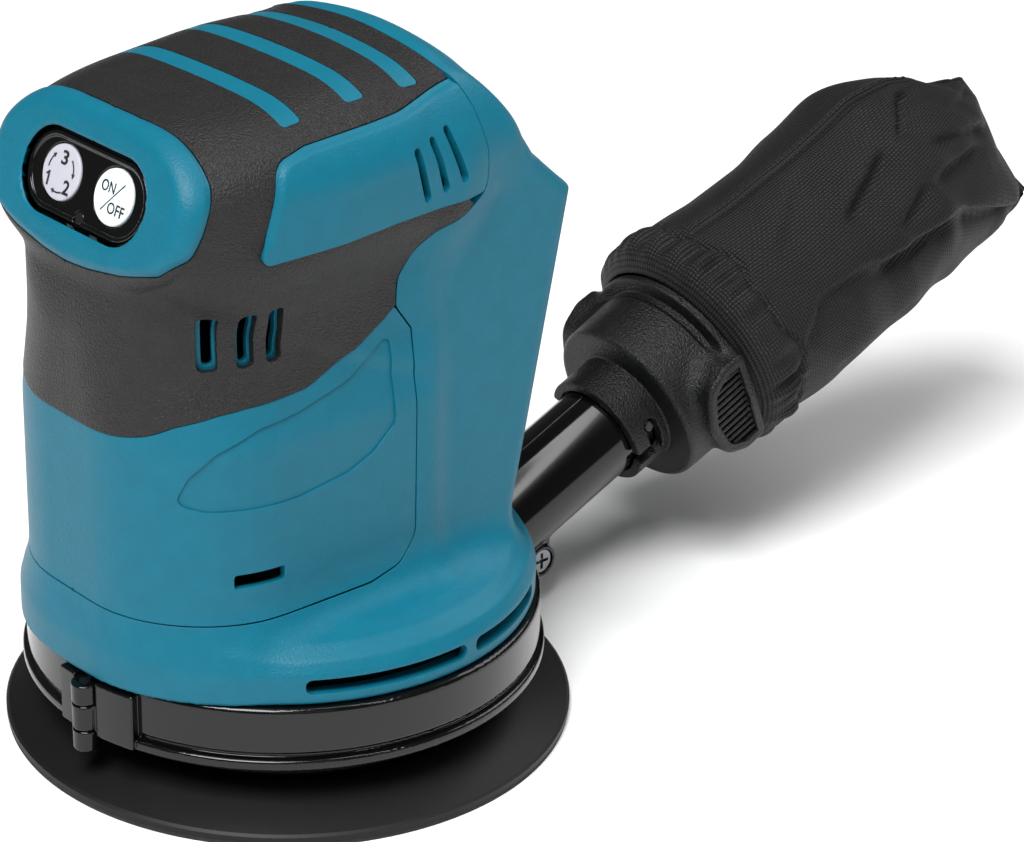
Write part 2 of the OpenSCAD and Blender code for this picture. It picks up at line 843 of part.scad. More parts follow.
module dust_bag() {
    color([0.16, 0.16, 0.17]) at_tube() difference() {
        union() {
            hull() {
                translate([0, 0, flange_s + 0.3]) cylinder(r = 24.6, h = 0.5, $fn = 32);
                bag_slice(29, 27.6, 16, flange_s + 12);
            }
            hull() {
                bag_slice(29, 27.6, 16, flange_s + 12);
                bag_slice(33, 27, 10, bag_end - 26);
                bag_slice(29, 18, 6, bag_end);
            }
        }
        translate([0, 0, flange_s - 5]) cylinder(r = 22.3, h = 18);
    }
}

module base_housing_left() {
    color(teal) base_housing(1);
}

module base_housing_right() {
    color(teal) base_housing(-1);
}

module front_housing_left() {
    front_housing(1);
}

module front_housing_right() {
    front_housing(-1);
}

module grip_rubber_left() {
    grip_rubber(1);
}

module grip_rubber_right() {
    grip_rubber(-1);
}

module nozzle_ring_left() {
    nozzle_ring(1);
}

module nozzle_ring_right() {
    nozzle_ring(-1);
}

base_housing_left();
base_housing_right();
front_housing_left();
front_housing_right();
grip_rubber_left();
grip_rubber_right();
switch_panel();
speed_button();
power_button();
lamp_lens();
switch_board();
control_board();
heat_sink();
filter_capacitor();
terminal_block();
terminal_blades();
base_screws();
front_screws();
motor_can();
motor_magnets();
motor_endcap();
motor_leads();
brush_holder();
carbon_brushes();
brush_springs();
armature_core();
armature_windings();
commutator();
motor_shaft();
upper_bearing();
lower_bearing();
bearing_plate();
bearing_plate_screws();
cooling_fan();
eccentric_spindle();
spindle_screw();
counterweight();
dust_fan();
pad_bearing();
pad_hub();
pad_plate();
pad_screws();
pad_foam();
hook_face();
pad_brake();
nozzle_ring_left();
nozzle_ring_right();
ring_hinge_pin();
clamp_screw();
clamp_nut();
bag_frame();
dust_bag();
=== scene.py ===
# Looks for the cordless orbital sander. Shapes are worked out in millimetres and placed in metres.
import json
import math

import bpy
import numpy as np
import openvdb as vdb
from mathutils import Matrix, Vector

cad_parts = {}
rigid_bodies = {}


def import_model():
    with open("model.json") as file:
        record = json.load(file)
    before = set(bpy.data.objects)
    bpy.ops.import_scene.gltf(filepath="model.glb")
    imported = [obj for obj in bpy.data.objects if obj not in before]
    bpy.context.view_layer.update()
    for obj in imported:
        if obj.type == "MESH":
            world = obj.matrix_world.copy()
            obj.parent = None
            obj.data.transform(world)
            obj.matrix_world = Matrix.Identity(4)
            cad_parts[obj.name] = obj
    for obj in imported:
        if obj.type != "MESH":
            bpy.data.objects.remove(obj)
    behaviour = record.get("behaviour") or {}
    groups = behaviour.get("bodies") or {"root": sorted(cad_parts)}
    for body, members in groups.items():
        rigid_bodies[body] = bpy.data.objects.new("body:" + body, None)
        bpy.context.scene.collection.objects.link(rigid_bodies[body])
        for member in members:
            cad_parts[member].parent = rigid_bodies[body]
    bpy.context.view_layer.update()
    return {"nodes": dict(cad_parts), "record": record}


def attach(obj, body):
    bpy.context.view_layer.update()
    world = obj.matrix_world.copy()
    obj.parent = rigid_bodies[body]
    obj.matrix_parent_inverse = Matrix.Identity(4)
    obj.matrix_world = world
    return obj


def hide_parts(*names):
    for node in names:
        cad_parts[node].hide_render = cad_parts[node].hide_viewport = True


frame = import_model()
MM = 0.001
rad = math.radians
TILT = rad(22.5)  # the dust tube's rise
TUBE_Y, TUBE_Z = 50, 17.6  # where its axis starts
PANEL = rad(69.55)  # the switch panel's lean
PANEL_Y, PANEL_Z = -48.9, 131.9  # its middle
BAG_LONG, BAG_GIRTH = 110, 172
BAG_WALL = 0.6
STEP = 0.6  # the grid the housings are meshed on


# ---- Distance fields: negative inside, in millimetres ----


def ease(t):
    """A soft step from 0 to 1 as t goes from 0 to 1."""
    t = np.clip(t, 0, 1)
    return t * t * (3 - 2 * t)


def cut(a, b, r):
    """Where both a and b hold, with their edge rounded to radius r."""
    return np.minimum(np.maximum(a, b), -r) + np.hypot(np.maximum(a + r, 0), np.maximum(b + r, 0))


def join(a, b, k):
    """Either a or b, with a soft inside corner of size k."""
    h = np.maximum(k - np.abs(a - b), 0) / k
    return np.minimum(a, b) - h * h * k / 4


def outline(u, v, points):
    """Distance to a closed outline in a plane."""
    d, s = 1e9, 1.0
    for (ax, ay), (bx, by) in zip([points[-1], *points[:-1]], points):
        ex, ey = bx - ax, by - ay
        wx, wy = u - ax, v - ay
        t = np.clip((wx * ex + wy * ey) / (ex * ex + ey * ey), 0, 1)
        d = np.minimum(d, (wx - ex * t) ** 2 + (wy - ey * t) ** 2)
        side = ex * wy - ey * wx
        up, down = (v >= ay) & (v < by), (v < ay) & (v >= by)
        s = np.where((up & (side > 0)) | (down & (side < 0)), -s, s)
    return s * np.sqrt(d)


def fillet(points, radius, steps=5):
    """The outline with each corner turned into an arc."""
    out, n = [], len(points)
    for i, p in enumerate(points):
        p = np.array(p, float)
        a, b = np.array(points[i - 1]) - p, np.array(points[(i + 1) % n]) - p
        la, lb = np.hypot(*a), np.hypot(*b)
        a, b = a / la, b / lb
        half = 0.5 * math.acos(max(-1.0, min(1.0, float(a @ b))))
        r = radius[i] if hasattr(radius, "__len__") else radius
        reach = min(r / math.tan(half), 0.48 * la, 0.48 * lb)
        turn = math.pi - 2 * half
        if reach < 0.02 or turn < 0.02:
            out.append(tuple(p))
            continue
        middle = p + (a + b) / np.hypot(*(a + b)) * reach / math.cos(half)
        s, e = p + a * reach - middle, p + b * reach - middle
        for k in range(steps + 1):
            t = k / steps
            spoke = (s * math.sin((1 - t) * turn) + e * math.sin(t * turn)) / math.sin(turn)
            out.append(tuple(middle + spoke))
    return out


def curve(points, blur):
    """A smooth function through a list of (at, value)."""
    at = np.arange(-100, 250, 0.25)
    value = np.interp(at, *zip(*points))
    k = np.exp(-0.5 * (np.arange(-40, 41) * 0.25 / blur) ** 2)
    value = np.convolve(np.pad(value, 40, mode="edge"), k / k.sum(), mode="valid")
    return lambda q: np.interp(q, at, value)


# ---- The outer form of the housings ----

NECK = [(82, 35.5), (88, 34.1), (97, 32.3), (103, 31.8)]  # height, half width
HEAD = [(109, 32.2), (115, 34.6), (121, 36.7), (128, 37)]
neck_width = curve(NECK, 1.6)
half_width = curve(NECK + HEAD, 1.6)
rear_at = curve([(104, 13.5), (120, 27.5)], 3)
rear_radius = curve([(104, 5), (120, 12)], 3)
COLUMN = fillet(  # y, z
    [(9, 25), (9, 97), (5.5, 104), (5, 109), (7, 115), (12, 120), (16, 160), (26, 154.5), (30.5, 148.5),
     (34, 139), (37.2, 132), (40.6, 127), (51.1, 117.6), (32.6, 25)],
    [1, 4, 4, 4, 4, 4, 1, 5, 6, 8, 8, 5, 1.2, 1])
BASE = fillet(  # distance from the axis, z
    [(-60, 28.4), (54.6, 28.4), (54.6, 34.8), (53, 37.4), (49.5, 39.6), (45, 40.8), (36, 42.3), (-60, 42.6)],
    [0, 0.7, 1.6, 2, 4, 4, 6, 0])
CROWN_LEAN = rad(5.45)


def back_y(z):
    """Where the column's back face is at a height."""
    return 36.6 + (z - 44.8) * 0.2


def crown(x, y, z):
    """The top of the head: flat along the middle, then falling to the sides and at the rear corners."""
    ax = np.abs(x)
    drop = 0.0029 * x * x + 6.2 * (np.maximum(ax - 17, 0) / 19) ** 2.3
    drop = drop + 2.4 * ease((y + 6) / 28) * ease(ax / 30)
    return (z - 153.2) * math.cos(CROWN_LEAN) - (y - 22.8) * math.sin(CROWN_LEAN) + drop


def in_panel(x, y, z):
    """Across, up and out of the switch panel."""
    c, s = math.cos(PANEL), math.sin(PANEL)
    y, z = y - PANEL_Y, z - PANEL_Z
    return x, y * c + z * s, -y * s + z * c


def in_tube(x, y, z):
    """Across, up and along the dust tube."""
    c, s = math.cos(TILT), math.sin(TILT)
    y, z = y - TUBE_Y, z - TUBE_Z
    return x, -y * s + z * c, y * c + z * s


def housing(x, y, z):
    """The housings' outer form, without their joints."""
    ax = np.abs(x)
    _, up, out = in_panel(x, y, z)
    depth = np.clip(-out, 0, 60)
    wide, high = 31.2 + 0.3 * depth, np.where(up > 0, 16.3 + 0.52 * depth, 16.6 + 0.1 * depth)
    power = np.minimum(2.5 + 0.22 * np.maximum(depth - 4, 0), 8)
    k = ((ax / wide) ** power + (np.abs(up) / high) ** power) ** (1 / power)
    oval = np.hypot(ax, up) * (1 - 1 / np.maximum(k, 0.3))
    rear = y - rear_at(z)
    head = cut(cut(oval, out, 3.2), cut(ax - half_width(z), rear, rear_radius(z)), 6)
    top = crown(x, y, z)
    head = cut(head, top, 3.4 + 5 * ease((y - 2) / 16) + 2.5 * ease((ax - 15) / 17))
    neck = cut(ax - neck_width(z), -55.2 - y, 28.5)
    neck = cut(neck, cut(ax - neck_width(z), rear, rear_radius(z)), 0.1)
    neck = np.maximum(cut(neck, out + 1.4, 3), z - 121)
    column = cut(cut(outline(y, z, COLUMN), ax - 34.6, 4.2), top + 1.6, 11)
    body = join(np.maximum(join(head, neck, 3), 26 - z), column, 5.5)
    body = join(body, outline(np.hypot(x, y), z, BASE), 10)
    body = np.maximum(body, 28.4 - z)
    inward = (y - back_y(z)) * 0.98
    bay = np.maximum(np.maximum(ax - 31, -8.8 - inward), 60 - z)
    lip = np.maximum(np.maximum(27.5 - ax, np.abs(inward + 0.5) - 2.6), z - 119)
    body = cut(body, -cut(bay, -lip, 0.7), 0.8)
    recess = np.hypot(y + 44, np.maximum(np.abs(z - 40) - 3.5, 0)) - 4.2
    return cut(body, -np.maximum(recess, x + 30.5), 0.8)


# ---- Skins: meshes of those fields ----


def slopes(field, p, h=0.04):
    """The field and its gradient at the points."""
    k = np.array([[1, -1, -1], [-1, -1, 1], [-1, 1, -1], [1, 1, 1]], float)
    f = [field(*(p + h * e).T) for e in k]
    return sum(f) / 4, sum(v[:, None] * e for v, e in zip(f, k)) / (4 * h)


def unit(v):
    return v / np.maximum(np.linalg.norm(v, axis=-1, keepdims=True), 1e-12)


def skin(field, boxes, step=STEP):
    """Points, outward normals and quads where the field is zero, looked for in boxes that meet."""
    grid = vdb.FloatGrid(3 * step)
    for lo, hi in boxes:
        i, j = [round(v / step) for v in lo], [round(v / step) for v in hi]
        x, y, z = (step * np.arange(a, b + 1, dtype=np.float32) for a, b in zip(i, j))
        f = field(x[:, None, None], y[None, :, None], z[None, None, :])
        f = np.clip(f, -3 * step, 3 * step).astype(np.float32)
        grid.copyFromArray(np.ascontiguousarray(f), ijk=tuple(i))
    p, quads = grid.convertToQuads(0.0)
    p, quads = np.asarray(p, float) * step, np.asarray(quads, int)
    for _ in range(3):
        value, g = slopes(field, p)
        move = -value[:, None] * g / np.maximum((g * g).sum(1, keepdims=True), 0.2)
        length = np.linalg.norm(move, axis=1, keepdims=True)
        p += move * np.minimum(1, 0.6 * step / np.maximum(length, 1e-9))
    normals = unit(g)
    a, b, c, d = (p[quads[:, i]] for i in range(4))
    if (np.cross(c - a, d - b) * normals[quads[:, 0]]).sum() < 0:
        quads = quads[:, ::-1]
    return p, normals, quads


def trim(p, normals, quads, g):
    """The part of a skin where g is below zero, and its faces as lists."""
    inside = g < 0
    count = inside[quads].sum(1)
    faces = quads[count == 4].tolist()
    extra, made = [], {}

    def between(a, b):
        key = (a, b) if a < b else (b, a)
        if key not in made:
            i, j = key
            made[key] = len(p) + len(extra)
            extra.append((i, j, g[i] / (g[i] - g[j])))
        return made[key]

    for face in quads[(count > 0) & (count < 4)].tolist():
        ring = []
        for a, b in zip(face, face[1:] + face[:1]):
            if inside[a]:
                ring.append(a)
            if inside[a] != inside[b]:
                ring.append(between(a, b))
        if len(ring) > 2:
            faces.append(ring)
    if extra:
        i, j, t = (np.array(v) for v in zip(*extra))
        t = t[:, None]
        p = np.concatenate([p, p[i] * (1 - t) + p[j] * t])
        normals = np.concatenate([normals, unit(normals[i] * (1 - t) + normals[j] * t)])
    used = np.unique(np.concatenate([np.array(f) for f in faces])) if faces else np.array([], int)
    index = np.full(len(p), -1)
    index[used] = np.arange(len(used))
    return p[used], normals[used], [[int(index[v]) for v in f] for f in faces]


def thicken(p, normals, faces, depth, lip=0.16):
    """A closed wall from an open skin: rounded rims at its edges, and the inside face at the depth."""
    edges = {}
    for f in faces:
        for a, b in zip(f, f[1:] + f[:1]):
            if (b, a) in edges:
                del edges[(b, a)]
            else:
                edges[(a, b)] = True
    rim = sorted({v for e in edges for v in e})
    n, m = len(p), len(rim)
    away = np.zeros((n, 3))
    for a, b in edges:
        t = np.cross(p[b] - p[a], normals[a])
        away[a] += t
        away[b] += t
    away = unit(away[rim])
    q, u = p[rim], normals[rim]
    rings = [
        q + away * lip * 0.6 - u * lip * 0.25,
        q + away * lip - u * lip,
        q + away * lip - u * (depth - 0.1)]
    ring_normals = [unit(away + u), away, away]
    inner = p - normals * depth
    points = np.concatenate([p, *rings, inner])
    all_normals = np.concatenate([normals, *ring_normals, -normals])
    at = {v: i for i, v in enumerate(rim)}
    out = list(faces) + [[v + n + 3 * m for v in reversed(f)] for f in faces]
    for a, b in edges:
        i, j = at[a], at[b]
        chain = [(n + k * m + i, n + k * m + j) for k in range(3)]
        chain = [(a, b), *chain, (n + 3 * m + a, n + 3 * m + b)]
        for (c, d), (e, f) in zip(chain, chain[1:]):
            out.append([d, c, e, f])
    return points, all_normals, out


def together(*parts):
    """Several meshes as one."""
    points, normals, faces, n = [], [], [], 0
    for p, u, f in parts:
        points.append(p)
        normals.append(u)
        faces += [[v + n for v in face] for face in f]
        n += len(p)
    return np.concatenate(points), np.concatenate(normals), faces


def agree(p, normals, faces):
    """The faces wound so that they look the way their normals point."""
    out = []
    for f in faces:
        a, b, c = (p[f[i]] for i in (0, 1, 2))
        flat = np.cross(b - a, c - a)
        out.append(f if np.dot(flat, normals[f[0]] + normals[f[1]] + normals[f[2]]) >= 0 else f[::-1])
    return p, normals, out


def grid_faces(rows, around):
    """The squares of a grid of points that closes on itself around."""
    return [[i * around + j, i * around + (j + 1) % around, (i + 1) * around + (j + 1) % around,
             (i + 1) * around + j] for i in range(rows) for j in range(around)]


def add(name, data):
    """A new object in the scene."""
    o = bpy.data.objects.new(name, data)
    bpy.context.scene.collection.objects.link(o)
    return o


def piece(name, mesh, material, body="root", slot=None, stands_for=(), smooth_normals=True):
    """Makes the object, in metres, and ties it to its body."""
    p, normals, faces = mesh
    me = bpy.data.meshes.new(name)
    me.from_pydata((np.asarray(p) * MM).tolist(), [], faces)
    me.polygons.foreach_set("use_smooth", [True] * len(me.polygons))
    if normals is not None and smooth_normals:
        me.normals_split_custom_set_from_vertices(normals.tolist())
    me.materials.append(material)
    me.update()
    o = add(name, me)
    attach(o, body)
    if stands_for:
        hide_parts(*stands_for)
    return o


# ---- Where each housing piece ends: outlines seen from the side, as y and z with corner radii ----

SEAM = fillet(
    [(-90, 44.3), (-6, 44.9), (2.6, 46.4), (7, 51), (7, 97.4), (3.2, 103), (3.2, 109.5), (6, 115.6),
     (10.6, 118.4), (18.4, 120.4), (23.6, 125), (24.2, 133), (22.6, 141), (19.2, 150), (17.5, 176),
     (-90, 176)],
    [0, 4, 6, 6, 1.2, 3, 6, 6, 6, 5, 6, 9, 9, 6, 0, 0])
RUBBER_EDGE = fillet(
    [(-90, 84.3), (-55, 84.3), (-51, 86), (-47, 88.5), (-40, 90.6), (-35, 91.3), (-20, 92), (-7, 97),
     (0.8, 101.3), (6, 106), (30, 106), (30, 119), (21, 122.5), (17.5, 123.6), (60, 127), (60, 190),
     (-90, 190)],
    [0, 9, 9, 9, 9, 9, 12, 12, 4, 0, 0, 0, 1, 1, 0, 0, 0])
SIDE_PANEL = fillet(
    [(-33.4, 121.9), (-29.9, 133), (-27.4, 140.6), (-20, 142.4), (4, 144), (18, 146), (40, 148), (40, 125.2),
     (0, 123.6), (-14, 122.6)],
    [1.6, 9, 4.5, 6, 20, 20, 0, 0, 20, 10])
DECO = fillet(
    [(-48.3, 71.8), (-43.5, 70.1), (-35.5, 69.8), (-23.8, 69.5), (-11, 71), (-4.3, 73.6), (1.4, 78.5),
     (1.6, 98.4), (-9.3, 90.9), (-22.6, 88), (-32.6, 86.9), (-41.6, 82.9), (-46, 78)],
    [2.2, 4, 12, 12, 9, 5, 2, 1.6, 12, 12, 9, 6, 5])
VENTS = (-41, -33.9, -27.6)  # y of each
VENT_Z = 105.3
STRIPES = (-19.1, -3.2, 10.7)  # y of each
SLITS = ((4.5, 136.6, 7.0, 126.9), (9.1, 137.6, 11.8, 127.9), (13.7, 138.5, 16.5, 128.8))  # y, z to y, z
EXHAUSTS = ((-14.3, 18.8), (23.1, 14.2))  # middle in degrees, half length in mm
MM_PER_DEGREE = 0.953
WINDOW = (20.2, 8.9)  # the bezel's window, half width and half height
GAP = 0.16
biggest = np.maximum.reduce
smallest = np.minimum.reduce


def bar(u, v, hu, hv, r):
    """Distance to a rectangle with rounded corners."""
    qu, qv = np.abs(u) - hu + r, np.abs(v) - hv + r
    return np.minimum(np.maximum(qu, qv), 0) + np.hypot(np.maximum(qu, 0), np.maximum(qv, 0)) - r


def strip(u, v, ax, ay, bx, by, r):
    """Distance to a stroke with round ends."""
    ex, ey = bx - ax, by - ay
    t = np.clip(((u - ax) * ex + (v - ay) * ey) / (ex * ex + ey * ey), 0, 1)
    return np.hypot(u - ax - ex * t, v - ay - ey * t) - r


def bezel_zone(x, y, z):
    """Below zero in the bezel round the switch panel."""
    _, up, out = in_panel(x, y, z)
    turn = np.degrees(np.arctan2(up * 1.9, np.abs(x)))
    depth = np.interp(turn, [-20, 0, 30, 55, 75, 90], [3.6, 4.5, 5.0, 3.9, 2.6, 2.4])
    low = np.interp(np.abs(x), [0, 7, 17.5, 27, 31.4, 34], [117.5, 118.0, 119.6, 122, 125.6, 131])
    return np.maximum(-(out + depth), low - z)


def zones(x, y, z):
    """The distances that split the outer form into its pieces."""
    ax = np.abs(x)
    across, up, _ = in_panel(x, y, z)
    panel = np.maximum(outline(y, z, SIDE_PANEL), 24 - ax)
    bezel = bezel_zone(x, y, z)
    stripes = smallest([bar(x, y - s, 27.6, 2.3, 0.9) for s in STRIPES])
    stripes = np.maximum(stripes, 144 - z)
    rubber = np.maximum(outline(y, z, RUBBER_EDGE), -smallest([panel, bezel, stripes]))
    vents = smallest([bar(y - v, z - VENT_Z, 1.9, 5.9, 1.2) for v in VENTS])
    inner_vents = smallest([bar(y - v - 0.15, z - VENT_Z, 1.15, 5.1, 1.0) for v in VENTS])
    angle = np.degrees(np.arctan2(y, ax))
    exhaust = smallest(
        [bar((angle - at) * MM_PER_DEGREE, z - 32.4, half, 1.8, 1.6) for at, half in EXHAUSTS])
    slits = smallest([strip(y, z, *s, 1.0) for s in SLITS])
    return {
        "front": outline(y, z, SEAM),
        "rubber": rubber,
        "panel": panel,
        "bezel": bezel,
        "stripes": stripes,
        "vents": np.maximum(vents, 20 - ax),
        "inner_vents": inner_vents,
        "slits": np.maximum(slits, 24 - ax),
        "exhaust": np.maximum(exhaust, 53 - np.hypot(x, y)),
        "slot": np.maximum(bar(y + 33.2, z - 54.1, 5.6, 1.7, 0.7), 24 - ax),
        "deco": np.maximum(outline(y, z, DECO), 20 - ax),
        "window": bar(across, up, *WINDOW, WINDOW[1]),
        "open_base": np.maximum(np.hypot(x, y) - 50, z - 29),
    }


whole = skin(housing, [((-57, -58, 26), (57, 58, 52)), ((-40, -58, 52), (40, 58, 157))])
zone = zones(*whole[0].T)


def shell(keep, depth=1.7, raised=0.0):
    """One closed wall out of the whole form, raised by a distance or by a function of x, y and z."""
    p, normals, faces = trim(*whole, keep)
    if callable(raised):
        p = p + normals * raised(*p.T)[:, None]
        normals = mesh_normals(p, faces)
    else:
        p = p + normals * raised
    return thicken(p, normals, faces, depth)


def mesh_normals(p, faces):
    """Normals at the points from the faces around them."""
    total = np.zeros_like(p)
    for size in {len(f) for f in faces}:
        f = np.array([g for g in faces if len(g) == size])
        n = sum(np.cross(p[f[:, i]], p[f[:, (i + 1) % size]]) for i in range(size))
        for i in range(size):
            np.add.at(total, f[:, i], n)
    return unit(total)


def panel_lift(x, y, z):
    """The side panel stands proud, with a chamfer along its top and front."""
    edge = -outline(y, z, SIDE_PANEL)
    return 0.35 + 0.75 * (1 - (1 - ease((edge - 0.35) / 1.3)) * ease((z - 124.5) / 3.5))


def base_lift(x, y, z):
    """The base housing meets the side panel flush, and sinks back to its own form behind it."""
    behind = outline(y, z, SEAM)
    return 1.05 * ease((z - 120) / 5) * ease((np.abs(x) - 23) / 7) * (1 - ease((behind - 2) / 11))


def bezel_lift(x, y, z):
    """The bezel stands a little proud of the rubber, with a small chamfer round it and round its window."""
    across, up, _ = in_panel(x, y, z)
    edge = np.minimum(-bezel_zone(x, y, z), 3 * bar(across, up, *WINDOW, WINDOW[1]) + 0.6)
    return 0.1 + 0.75 * ease(edge / 1.3)


def build_housings(name, side):
    """The teal and rubber shells of one side: left is +X, side 1; right is -X, side -1."""
    x, y, z = whole[0].T
    half = 0.06 - side * x
    front = zone["front"] + GAP + 0.22
    solid_front = biggest([front, half, -zone["rubber"] + 0.12, -zone["slot"]])
    lower = biggest([solid_front, -zone["deco"] + 0.05, z - 112])
    inlay = biggest([half, front, zone["deco"] + 0.05])
    bezel = biggest([solid_front, zone["bezel"], -zone["window"]])
    side_panel = biggest([solid_front, zone["panel"], -zone["slits"]])
    stripes = biggest([solid_front, zone["stripes"]])
    patch = np.maximum(np.abs(y + 34.3) - 11, np.abs(z - VENT_Z) - 8)
    behind_vents = biggest([half, patch, 20 - np.abs(x), -zone["inner_vents"]])
    parts = [
        shell(lower),
        shell(inlay, raised=-0.45),
        shell(bezel, depth=2.4, raised=bezel_lift),
        shell(side_panel, depth=2.2, raised=panel_lift),
        shell(stripes, raised=0.1),
        shell(behind_vents, depth=1.5, raised=-1.75),
    ]
    grip = biggest([front, half, zone["rubber"] + 0.2, -zone["vents"]])
    base = biggest([-zone["front"] + GAP, half, -zone["exhaust"], -zone["open_base"]])
    for kind, mesh, slot, node in (
            ("front_shell_", together(*parts), "teal_plastic", "front_housing_"),
            ("grip_", shell(grip, 1.9, 0.22), "grip_rubber", "grip_rubber_"),
            ("base_shell_", shell(base, 1.9, base_lift), "teal_plastic", "base_housing_")):
        piece(kind + name, mesh, FINISH[slot], slot=slot, stands_for=[node + name])


def baffle(side):
    """A low curved wall behind the exhaust slots, so that no light shows through the base; its black finish
    is painted shade for the shaded inside of the slots.
    """
    count = 42
    angles = np.radians(np.linspace(-40, 44, count + 1))
    rings = [(49.4, 29.4), (50.3, 29.4), (50.3, 36.4), (49.4, 36.4)]
    p = np.array([[side * r * math.cos(a), r * math.sin(a), z] for a in angles for r, z in rings])
    faces = grid_faces(count, 4) + [[0, 3, 2, 1], [4 * count + j for j in range(4)]]
    return p, None, [f[::-side] for f in faces]


# ---- Materials ----


def srgb(r, g, b):
    """A colour given as 0 to 255 on screen, as Blender's linear colour."""
    return [((c / 255 + 0.055) / 1.055) ** 2.4 if c > 10 else c / 3294 for c in (r, g, b)] + [1]


def ramped(tree, fac, at, colors):
    """A colour that runs between two colours as the factor goes from one value to the other."""
    ramp = tree.nodes.new("ShaderNodeValToRGB")
    for end, position, color in zip(ramp.color_ramp.elements, at, colors):
        end.position, end.color = position, color
    tree.links.new(fac, ramp.inputs["Fac"])
    return ramp.outputs["Color"]


def bumped(tree, height, strength, distance):
    """Bump on the material's shader, with the distance in mm."""
    bump = tree.nodes.new("ShaderNodeBump")
    bump.inputs["Strength"].default_value = strength
    bump.inputs["Distance"].default_value = distance * MM
    tree.links.new(height, bump.inputs["Height"])
    tree.links.new(bump.outputs["Normal"], tree.nodes["Principled BSDF"].inputs["Normal"])


def material(name, color, rough=0.5, grain=None, shade=0.06, spread=220, **sockets):
    """A surface with a little colour variation, and grain as (size in mm, bump strength, height in mm)."""
    m = bpy.data.materials.new(name)
    m.use_nodes = True
    tree = m.node_tree
    links, nodes = tree.links, tree.nodes
    shader = nodes["Principled BSDF"]
    place = nodes.new("ShaderNodeTexCoord")
    cloud = nodes.new("ShaderNodeTexNoise")
    cloud.inputs["Scale"].default_value = spread
    cloud.inputs["Detail"].default_value = 4
    links.new(place.outputs["Object"], cloud.inputs["Vector"])
    color = srgb(*color)[:3]
    colors = [c * (1 - shade) for c in color] + [1], [min(1, c * (1 + shade)) for c in color] + [1]
    links.new(ramped(tree, cloud.outputs["Fac"], (0.3, 0.7), colors), shader.inputs["Base Color"])
    shader.inputs["Roughness"].default_value = rough
    for key, value in sockets.items():
        shader.inputs[key.replace("_", " ")].default_value = value
    if grain:
        size, strength, height = grain
        spots = nodes.new("ShaderNodeTexNoise")
        spots.inputs["Scale"].default_value = 1000 / size
        spots.inputs["Detail"].default_value = 2
        links.new(place.outputs["Object"], spots.inputs["Vector"])
        bumped(tree, spots.outputs["Fac"], strength, height)
    return m


def weave(m, pitch):
    """Plain weave on a material, drawn from the piece's own coordinates round and along the cloth: a bump,
    and painted shade and highlight from the same height.
    """
    tree = m.node_tree
    links, nodes = tree.links, tree.nodes

    def maths(kind, a, b=None):
        n = nodes.new("ShaderNodeMath")
        n.operation = kind
        for slot, v in enumerate((a, b)):
            if v is None:
                continue
            if isinstance(v, (int, float)):
                n.inputs[slot].default_value = v
            else:
                links.new(v, n.inputs[slot])
        return n.outputs[0]

    uv = nodes.new("ShaderNodeUVMap")
    split = nodes.new("ShaderNodeSeparateXYZ")
    links.new(uv.outputs["UV"], split.inputs["Vector"])
    u, v = (maths("DIVIDE", split.outputs[k], pitch / 10) for k in ("X", "Y"))
    along = maths("ABSOLUTE", maths("SINE", maths("MULTIPLY", u, math.pi)))
    across = maths("ABSOLUTE", maths("SINE", maths("MULTIPLY", v, math.pi)))
    odd = maths("FLOORED_MODULO", maths("ADD", maths("FLOOR", u), maths("FLOOR", v)), 2)
    over = maths("MULTIPLY", along, maths("POWER", across, 0.4))
    under = maths("MULTIPLY", across, maths("POWER", along, 0.4))
    height = maths("ADD", maths("MULTIPLY", odd, over), maths("MULTIPLY", maths("SUBTRACT", 1, odd), under))
    bumped(tree, height, 0.9, 0.22)
    # Painted shade and highlight: the weave's height scales the base colour from dark in the gaps between
    # threads to bright on the thread crowns.
    base = nodes["Principled BSDF"].inputs["Base Color"]
    painted_weave_light = nodes.new("ShaderNodeMix")
    painted_weave_light.data_type, painted_weave_light.blend_type = "RGBA", "MULTIPLY"
    painted_weave_light.inputs[0].default_value = 1
    links.new(base.links[0].from_socket, painted_weave_light.inputs[6])
    links.new(ramped(tree, height, (0.1, 0.95), ((0.2, 0.2, 0.2, 1), (1.9, 1.9, 1.9, 1))), painted_weave_light.inputs[7])
    links.new(painted_weave_light.outputs[2], base)
    return m


